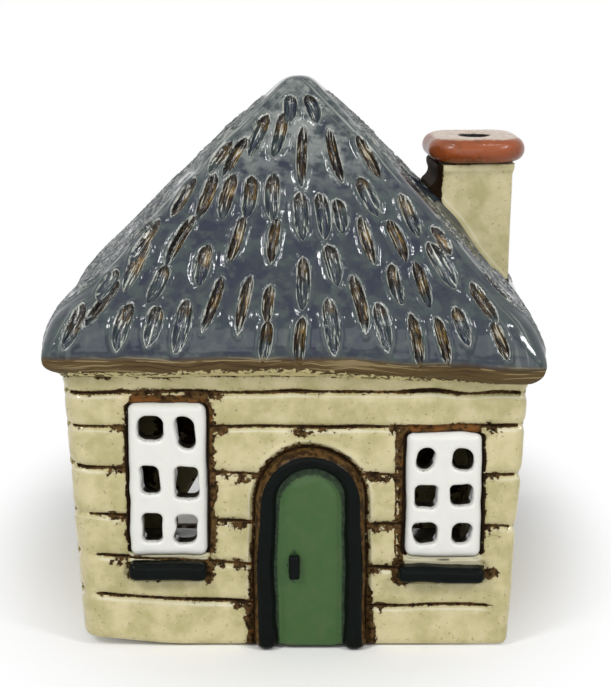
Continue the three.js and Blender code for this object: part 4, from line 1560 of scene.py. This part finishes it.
    def build(self) -> None:
        """Makes the roof."""
        roof = Clay(
            "thatched_roof", ("roof",), self.distance, self.low, self.high, 0.5,
            self.relief, self.marks, "slate_glaze",
        )
        dress(roof.cast(), Finish.SLATE)


@dataclass
class Chimney:
    """The square stack luted to the right slope, and its bull-nosed cap with the flue's mouth."""

    roof: Roof
    turn: float = 6.0
    stack_half: float = 7.5
    stack_corner: float = 1.6
    fuller: float = 1.1
    broader: float = 0.45
    flue: float = 3.5

    # How the stack widens upwards, and its lip under the cap
    taper: float = 0.02
    taper_from: float = 12.0
    lip: float = 0.40
    lip_above: float = 0.2
    lip_reach: float = 1.0

    # The clay smeared round the stack's root: a lump on its left, from these places on, and a fillet
    lump: float = 1.5
    lump_reach: float = 1.6
    lump_across: tuple[float, float] = (3.0, 7.0)
    lump_along: tuple[float, float] = (0.5, 3.5)
    fillet: float = 0.3
    fillet_reach: float = 0.8

    # How far the stack is sunk into the cap and into the roof
    sunk: float = 1.2

    # The cap: its corners, its nose, how much is off its thickness, its lift and its fuller left
    cap_corner: float = 7.0
    cap_nose: float = 2.6
    cap_thinner: float = 0.5
    cap_lift: float = 0.85
    cap_fuller: float = 0.15
    dish: float = 0.15
    dish_reach: float = 5.0
    mouth_lip: float = 0.2
    mouth_blend: float = 0.6

    # How pale the cap is on its up-facing top, and how thin its glaze is under its lip and in the streak on
    # its rim
    pale_top: float = 0.8
    thin_under: float = 0.75
    thin_streak: float = 0.55
    under_ends: tuple[float, float] = (1.7, 0.8)
    streak_up: float = 2.3
    streak_width: float = 0.4

    # Seed and size of the lumps in the stain's edge, the stack, the cap and the cap's streak
    stain_lumps: tuple[int, float] = (91, 3.0)
    stack_lumps: tuple[int, float] = (93, 6.0)
    cap_lumps: tuple[int, float] = (95, 5.0)
    streak_lumps: tuple[int, float] = (97, 5.0)

    # The grids' cell sizes
    stack_cell: float = 0.36
    cap_cell: float = 0.34

    def __post_init__(self) -> None:
        """Finds the chimney in the construction model."""
        self.stack_low, self.stack_high = node_box("chimney_stack")
        self.cap_low, self.cap_high = node_box("chimney_cap")
        self.middle = (self.cap_low + self.cap_high) / 2
        angle = math.radians(self.turn)
        self.cos, self.sin = math.cos(angle), math.sin(angle)
        extent = (self.cap_high[0] - self.cap_low[0]) / 2
        straight = self.cos + self.sin
        self.cap_half = (extent - self.cap_corner * (1 - straight)) / straight + self.cap_fuller

    def turned(self, p: Array) -> tuple[Array, Array]:
        """Returns places across and along the chimney's own sides, from its middle."""
        x, y = p[:, 0] - self.middle[0], p[:, 1] - self.middle[1]
        return x * self.cos + y * self.sin, y * self.cos - x * self.sin

    def bore(self, p: Array) -> Array:
        """Returns the distance from the flue, less than zero in it."""
        return np.hypot(p[:, 0] - self.middle[0], p[:, 1] - self.middle[1]) - self.flue

    def stack_distance(self, p: Array) -> Array:
        """Returns the distance from the stack: it flares under the cap and where it meets the roof."""
        u, v = self.turned(p)
        above_roof = np.maximum(self.roof.skin(p), 0)
        lip = self.lip * hill(np.minimum(p[:, 2] - self.stack_high[2] - self.lip_above, 0), self.lip_reach)
        half = self.stack_half + self.taper * (p[:, 2] - self.stack_high[2] + self.taper_from) + lip
        start, full = self.lump_along
        on_left = ramp(-u, *self.lump_across) * ramp(v, -self.stack_half + start, -self.stack_half + full)
        lump = self.lump * hill(above_roof, self.lump_reach) * on_left
        blob = lump + self.fillet * hill(above_roof, self.fillet_reach)
        across = u + self.fuller - self.broader
        wall = plan_distance(across, v, half + self.broader, half, self.stack_corner) - blob
        ends = np.maximum(p[:, 2] - self.stack_high[2] - self.sunk, -self.sunk - self.roof.skin(p))
        return np.maximum(np.maximum(wall, ends), -self.bore(p))

    def cap_distance(self, p: Array) -> Array:
        """Returns the distance from the cap: a thick soft slab with a dished top."""
        u, v = self.turned(p)
        half_height = (self.cap_high[2] - self.cap_low[2]) / 2 - self.cap_thinner
        u = u + self.cap_fuller
        middle = self.middle[2] + self.cap_lift - self.dish * hill(np.hypot(u, v), self.dish_reach)
        flat = self.cap_half - half_height
        plan = plan_distance(u, v, flat, flat, self.cap_corner - self.cap_nose)
        upright = np.abs(p[:, 2] - middle)
        slab = np.hypot(np.maximum(plan, 0), upright) - half_height
        return smooth_max(slab, -self.bore(p) - self.mouth_lip, self.mouth_blend)

    def stack_marks(self, p: Array, facing: Array) -> dict[str, Array]:
        """Returns what the beige glaze reads: the dark left side, the seams and the flue."""
        u = self.turned(p)[0]
        wander = 0.1 * Lumps(*self.stain_lumps).at(p)
        left = 3.0 * (u + self.stack_half + self.fuller - 0.5 - wander)
        root = self.roof.skin(p) + 0.7 - 1.9 * hill(u - self.stack_half, 1.4)
        neck = self.stack_high[2] - p[:, 2] + 1.6
        stain = np.minimum(np.minimum(np.maximum(left, -1.5), root), neck)
        stain = np.minimum(stain, 3 * self.bore(p))
        deep = np.maximum(ramp(-left, -0.3, 0.4), hill(root, 0.3))
        edge = 0.7 * hill(self.roof.skin(p) - 0.6, 0.4) + 0.5 * hill(self.stack_high[2] - p[:, 2], 0.6)
        none = np.zeros(len(p))
        return {"stain": stain.clip(-4, 8), "line": none + 4, "deep": deep, "edge": edge, "amber": none}

    def cap_marks(self, p: Array, facing: Array) -> dict[str, Array]:
        """Returns where the orange glaze turns pale: on the up-facing top, where it is thin under the lip and
        in a broken streak, and near black in the flue's mouth.
        """
        # Paler on the up-facing top
        top = self.pale_top * ramp(facing[:, 2], 0.80, 1.0)
        start, full = self.under_ends
        under = self.thin_under * ramp(-p[:, 2], -self.cap_low[2] - start, -self.cap_low[2] - full)
        line = self.thin_streak * hill(p[:, 2] - self.cap_low[2] - self.streak_up, self.streak_width)
        streak = line * ramp(Lumps(*self.streak_lumps).at(p), -0.4, 0.6)
        # Near black inside the flue's mouth
        near_black = 4.0 * ramp(-self.bore(p), -0.1, 0.25)
        return {"worn": np.maximum(np.maximum(top, under), streak) + near_black}

    def build(self) -> None:
        """Makes the stack and the cap."""
        room = np.array([1.0, 1.0, 0.4])
        stack = Clay(
            "beige_stack", ("chimney_stack",), self.stack_distance, self.stack_low - room * (2.4, 1, 4),
            self.stack_high + room, self.stack_cell,
            lambda p, facing: 0.22 * Lumps(*self.stack_lumps).at(p) * ramp(self.bore(p), 0.5, 2),
            self.stack_marks, "beige_glaze",
        )
        dress(stack.cast(), Finish.BEIGE)
        cap = Clay(
            "orange_cap", ("chimney_cap",), self.cap_distance, self.cap_low - room,
            self.cap_high + room, self.cap_cell,
            lambda p, facing: 0.14 * Lumps(*self.cap_lumps).at(p) - 0.12, self.cap_marks, "orange_glaze",
        )
        dress(cap.cast(), Finish.ORANGE)


@dataclass
class TeaLight:
    """A tea light: its pressed cup, the wax, and the wick in its tab."""

    ribs: int = 40
    rounds: int = 160
    hole: float = 0.05

    # The cup: its foil, its ribs, and how far in from its rim its side stands
    foil: float = 0.4
    rib_depth: float = 0.12
    side: float = 0.6

    # Corners of the cup's foot, in from the rim and up from the base, and of its rim, in and down
    cup_foot: tuple[tuple[float, float], ...] = ((1.4, 0.0), (1.0, 0.4), (0.75, 1.4))
    cup_rim: tuple[tuple[float, float], ...] = ((0.35, 0.8), (0.0, 0.5), (0.0, 0.15), (0.3, 0.0), (0.7, 0.2))

    # Where the cup's straight side ends outside and inside, up from the base and down from the top
    outside_ends: tuple[float, float] = (1.8, 1.4)
    inside_ends: tuple[float, float] = (1.6, 1.0)
    inside_foot: float = 1.6

    # The wax: its room in the cup, and how it climbs the wick
    wax_room: float = 0.15
    wick_room: float = 0.1
    climb: float = 0.35
    climb_reach: float = 1.6

    # The tab's plate and neck, and the wick's braid
    tab_plate: float = 0.4
    tab_neck: float = 1.35
    strand: float = 0.07
    strand_twist: float = 4.2
    strand_count: int = 3
    wick_rows: int = 60

    def __post_init__(self) -> None:
        """Finds the tea light in the construction model."""
        self.cup_low, self.cup_high = node_box("tealight_cup")
        self.wax_low, self.wax_high = node_box("tealight_wax")
        self.tab_low, self.tab_high = node_box("tealight_wick_tab")
        self.wick_low, self.wick_high = node_box("tealight_wick")

    def turn_up(
        self, name: str, node: str, profile: list[tuple[float, float]],
        wave: Callable[[Array, Array], Array] | None = None,
    ) -> bpy.types.Object:
        """Spins a closed profile into a piece.

        Args:
            name: the piece's name.
            node: the construction node that it stands for.
            profile: corners as radius and height in millimetres, in order round the section.
            wave: how much each corner's radius grows, from its angle and height.

        Returns:
            The Blender object.
        """
        section = np.array(profile)
        angles = np.linspace(0, 2 * math.pi, self.rounds, endpoint=False)
        count = len(section)
        points = np.empty((self.rounds, count, 3))
        radius = np.tile(section[:, 0], (self.rounds, 1))
        if wave:
            radius = radius + wave(angles[:, None], section[None, :, 1])
        points[..., 0] = radius * np.cos(angles)[:, None]
        points[..., 1] = radius * np.sin(angles)[:, None]
        points[..., 2] = section[:, 1]
        quads = []
        for i in range(self.rounds):
            for j in range(count):
                after, up = (i + 1) % self.rounds, (j + 1) % count
                quads.append((i * count + j, after * count + j, after * count + up, i * count + up))
        return place_mesh(name, points.reshape(-1, 3), np.array(quads), {}, (node,), "tealight")

    def build(self) -> None:
        """Makes the four pieces of the tea light."""
        radius, base, top = self.cup_high[0], self.cup_low[2], self.cup_high[2]

        def ribbed(angle: Array, height: Array) -> Array:
            """Returns the cup's upright ribs, which die out at its foot and its rim."""
            zone = ramp(height, base + 1.5, base + 3) * ramp(-height, -top + 1.2, -top + 2.2)
            return self.rib_depth * np.cos(self.ribs * angle) * zone - self.rib_depth * zone

        outer = [(self.hole, base)] + [(radius - inwards, base + up) for inwards, up in self.cup_foot]
        low, high = base + self.outside_ends[0], top - self.outside_ends[1]
        outer += [(radius - self.side, z) for z in np.linspace(low, high, 12)]
        outer += [(radius - inwards, top - down) for inwards, down in self.cup_rim]
        low, high = base + self.inside_ends[0], top - self.inside_ends[1]
        inner = [(radius - self.side - self.foil, z) for z in np.linspace(high, low, 6)]
        inner += [(radius - self.inside_foot, base + self.foil), (self.hole, base + self.foil)]
        cup = self.turn_up("tealight_foil_cup", "tealight_cup", outer + inner, ribbed)
        dress(cup, Finish.CUP)

        wax_r, wax_base, wax_top = self.wax_high[0] - self.wax_room, self.wax_low[2], self.wax_high[2]
        bore = self.wick_high[0] + self.wick_room
        level = [(wax_r, wax_top - 0.1), (wax_r - 0.5, wax_top - 0.45)]
        for r in np.linspace(wax_r - 2, bore, 12):
            climb = self.climb * math.exp(-((r - bore) / self.climb_reach) ** 2)
            level.append((r, wax_top - 0.5 + climb))
        wax = [(bore, wax_base), (wax_r - 1.4, wax_base), (wax_r - 0.4, wax_base + 1.2), *level]
        dress(self.turn_up("tealight_wax_fill", "tealight_wax", wax), Finish.WAX)

        tab_r, tab_base = self.tab_high[0], self.tab_low[2]
        plate = tab_base + self.tab_plate
        tab = [(bore, tab_base), (tab_r, tab_base), (tab_r, plate), (self.tab_neck, plate)]
        tab += [(self.tab_neck, self.tab_high[2]), (bore, self.tab_high[2])]
        dress(self.turn_up("tealight_tab", "tealight_wick_tab", tab), Finish.TAB)

        wick_r, foot, tip = self.wick_high[0], self.wick_low[2], self.wick_high[2]
        heights = np.linspace(foot + 0.2, tip - 0.3, self.wick_rows)
        wick = [(0.02, foot), (wick_r - 0.1, foot)]
        wick += [(wick_r - 0.1, z) for z in heights]
        wick += [(0.3, tip), (0.02, tip)]

        def braid(angle: Array, height: Array) -> Array:
            """Returns the crossing strands of the braided wick."""
            strands = self.strand * np.sin(self.strand_count * angle + self.strand_twist * height)
            return strands * ramp(height, foot, foot + 0.3) * ramp(-height, -tip, -tip + 0.3)

        dress(self.turn_up("tealight_wick_braid", "tealight_wick", wick, braid), Finish.COTTON)


@dataclass
class Studio:
    """A pale floor, a white surround, soft lamps and the camera."""

    camera_at: tuple[float, float, float] = (2.4, -440.0, 154.5)
    pitch: float = 12.6
    focal_pixels: float = 2053.6
    frame_height: float = 687.0
    sensor: float = 36.0
    surround: float = 0.30
    floor_reach: float = 4.0
    shadow_stretch: tuple[float, float, float] = (1.0, 0.55, 1.0)
    shadow_shift: tuple[float, float, float] = (0.0, -0.025, 0.0)
    shadow_ends: tuple[float, float] = (0.048, 0.082)
    lamps: tuple[tuple[tuple[float, float, float], float, float], ...] = field(default=(
        ((-0.55, -0.62, 0.72), 0.22, 4.0),
        ((0.66, -0.55, 0.62), 0.18, 2.9),
        ((0.0, -1.10, 0.20), 0.90, 2.7),
        ((-0.40, -0.42, 1.05), 0.10, 1.3),
        ((0.42, -0.46, 1.02), 0.09, 1.1),
    ))

    def seen(self, nodes: bpy.types.Nodes, links: bpy.types.NodeLinks) -> bpy.types.NodeSocket:
        """Adds the test for what the camera, a gloss or a clear surface sees.

        Args:
            nodes: the nodes to add to.
            links: their links.

        Returns:
            A socket that is 1 on those rays.
        """
        path = nodes.new("ShaderNodeLightPath")
        total = path.outputs["Is Camera Ray"]
        for label in ("Is Glossy Ray", "Is Transmission Ray"):
            join = nodes.new("ShaderNodeMath")
            join.operation = "MAXIMUM"
            links.new(total, join.inputs[0])
            links.new(path.outputs[label], join.inputs[1])
            total = join.outputs[0]
        return total

    def blend(
        self, tree: bpy.types.NodeTree, share: bpy.types.NodeSocket,
        first: bpy.types.Node, second: bpy.types.Node,
    ) -> bpy.types.NodeSocket:
        """Mixes two shaders.

        Args:
            tree: the node tree to add to.
            share: 0 for the first shader, 1 for the second.
            first: the first shader's node.
            second: the second shader's node.

        Returns:
            The mixed shader.
        """
        mix = tree.nodes.new("ShaderNodeMixShader")
        for socket, output in zip(mix.inputs, (share, first.outputs[0], second.outputs[0])):
            tree.links.new(output, socket)
        return mix.outputs[0]

    def make_world(self) -> None:
        """Makes the white surround, which lights the object more softly than it shows."""
        world = bpy.data.worlds.new("surround")
        bpy.context.scene.world = world
        world.use_nodes = True
        nodes, links = world.node_tree.nodes, world.node_tree.links
        shown = nodes["Background"]
        shown.inputs["Color"].default_value = (1, 1, 1, 1)
        shown.inputs["Strength"].default_value = 1.0
        soft = nodes.new("ShaderNodeBackground")
        soft.inputs["Color"].default_value = (1, 1, 1, 1)
        soft.inputs["Strength"].default_value = self.surround
        mixed = self.blend(world.node_tree, self.seen(nodes, links), soft, shown)
        links.new(mixed, nodes["World Output"].inputs["Surface"])

    def make_floor(self) -> None:
        """Makes the floor: pale near the object, where it takes the shadow, and white beyond."""
        reach = self.floor_reach
        mesh = bpy.data.meshes.new("floor")
        corners = [(-reach, -reach, 0), (reach, -reach, 0), (reach, reach, 0), (-reach, reach, 0)]
        mesh.from_pydata(corners, [], [(0, 1, 2, 3)])
        floor = bpy.data.objects.new("floor", mesh)
        bpy.context.scene.collection.objects.link(floor)
        material = bpy.data.materials.new("floor")
        material.use_nodes = True
        nodes, links = material.node_tree.nodes, material.node_tree.links
        pale = nodes["Principled BSDF"]
        pale.inputs["Base Color"].default_value = (0.93, 0.93, 0.92, 1)
        pale.inputs["Roughness"].default_value = 0.9
        pale.inputs["Specular IOR Level"].default_value = 0.1
        place = nodes.new("ShaderNodeTexCoord")
        shape = nodes.new("ShaderNodeVectorMath")
        shape.operation = "MULTIPLY_ADD"
        shape.inputs[1].default_value = self.shadow_stretch
        shape.inputs[2].default_value = self.shadow_shift
        links.new(place.outputs["Object"], shape.inputs[0])
        span = nodes.new("ShaderNodeVectorMath")
        span.operation = "LENGTH"
        links.new(shape.outputs[0], span.inputs[0])
        fade = nodes.new("ShaderNodeMapRange")
        fade.interpolation_type = "SMOOTHSTEP"
        fade.inputs["From Min"].default_value = self.shadow_ends[0]
        fade.inputs["From Max"].default_value = self.shadow_ends[1]
        links.new(span.outputs["Value"], fade.inputs["Value"])
        both = nodes.new("ShaderNodeMath")
        both.operation = "MULTIPLY"
        links.new(fade.outputs["Result"], both.inputs[0])
        links.new(self.seen(nodes, links), both.inputs[1])
        white = nodes.new("ShaderNodeEmission")
        white.inputs["Strength"].default_value = 1.0
        mixed = self.blend(material.node_tree, both.outputs[0], pale, white)
        links.new(mixed, nodes["Material Output"].inputs["Surface"])
        mesh.materials.append(material)

    def make_lamps(self) -> None:
        """Makes the soft lamps, each turned to the middle of the house."""
        aim = np.array([0, 0, 0.06])
        for index, (place, size, power) in enumerate(self.lamps):
            data = bpy.data.lights.new(f"lamp_{index}", "AREA")
            data.shape = "SQUARE"
            data.size = size
            data.energy = power
            lamp = bpy.data.objects.new(data.name, data)
            lamp.location = place
            away = np.array(place) - aim
            lamp.rotation_euler = (
                math.atan2(math.hypot(away[0], away[1]), away[2]), 0, math.atan2(away[0], -away[1])
            )
            bpy.context.scene.collection.objects.link(lamp)

    def make_camera(self) -> None:
        """Makes the camera at the photograph's viewing angle."""
        data = bpy.data.cameras.new("camera")
        data.sensor_width = self.sensor
        data.lens = self.focal_pixels / self.frame_height * self.sensor
        camera = bpy.data.objects.new("camera", data)
        camera.location = np.array(self.camera_at) * MM
        camera.rotation_euler = (math.radians(90 - self.pitch), 0, 0)
        bpy.context.scene.collection.objects.link(camera)
        bpy.context.scene.camera = camera

    def build(self) -> None:
        """Makes the whole studio."""
        bpy.context.scene.view_settings.view_transform = "Standard"
        self.make_world()
        self.make_floor()
        self.make_lamps()
        self.make_camera()


def main() -> None:
    """Builds the studio, the cottage and the tea light."""
    logging.basicConfig(level=logging.INFO, format="%(name)s: %(message)s")
    Studio().build()
    left = WindowTile("left", LEFT_PANES)
    right = WindowTile("right", RIGHT_PANES)
    door = Door()
    Walls((left, right), door).build()
    left.build()
    right.build()
    door.build()
    roof = Roof()
    roof.build()
    Chimney(roof).build()
    TeaLight().build()


if __name__ == "__main__":
    main()
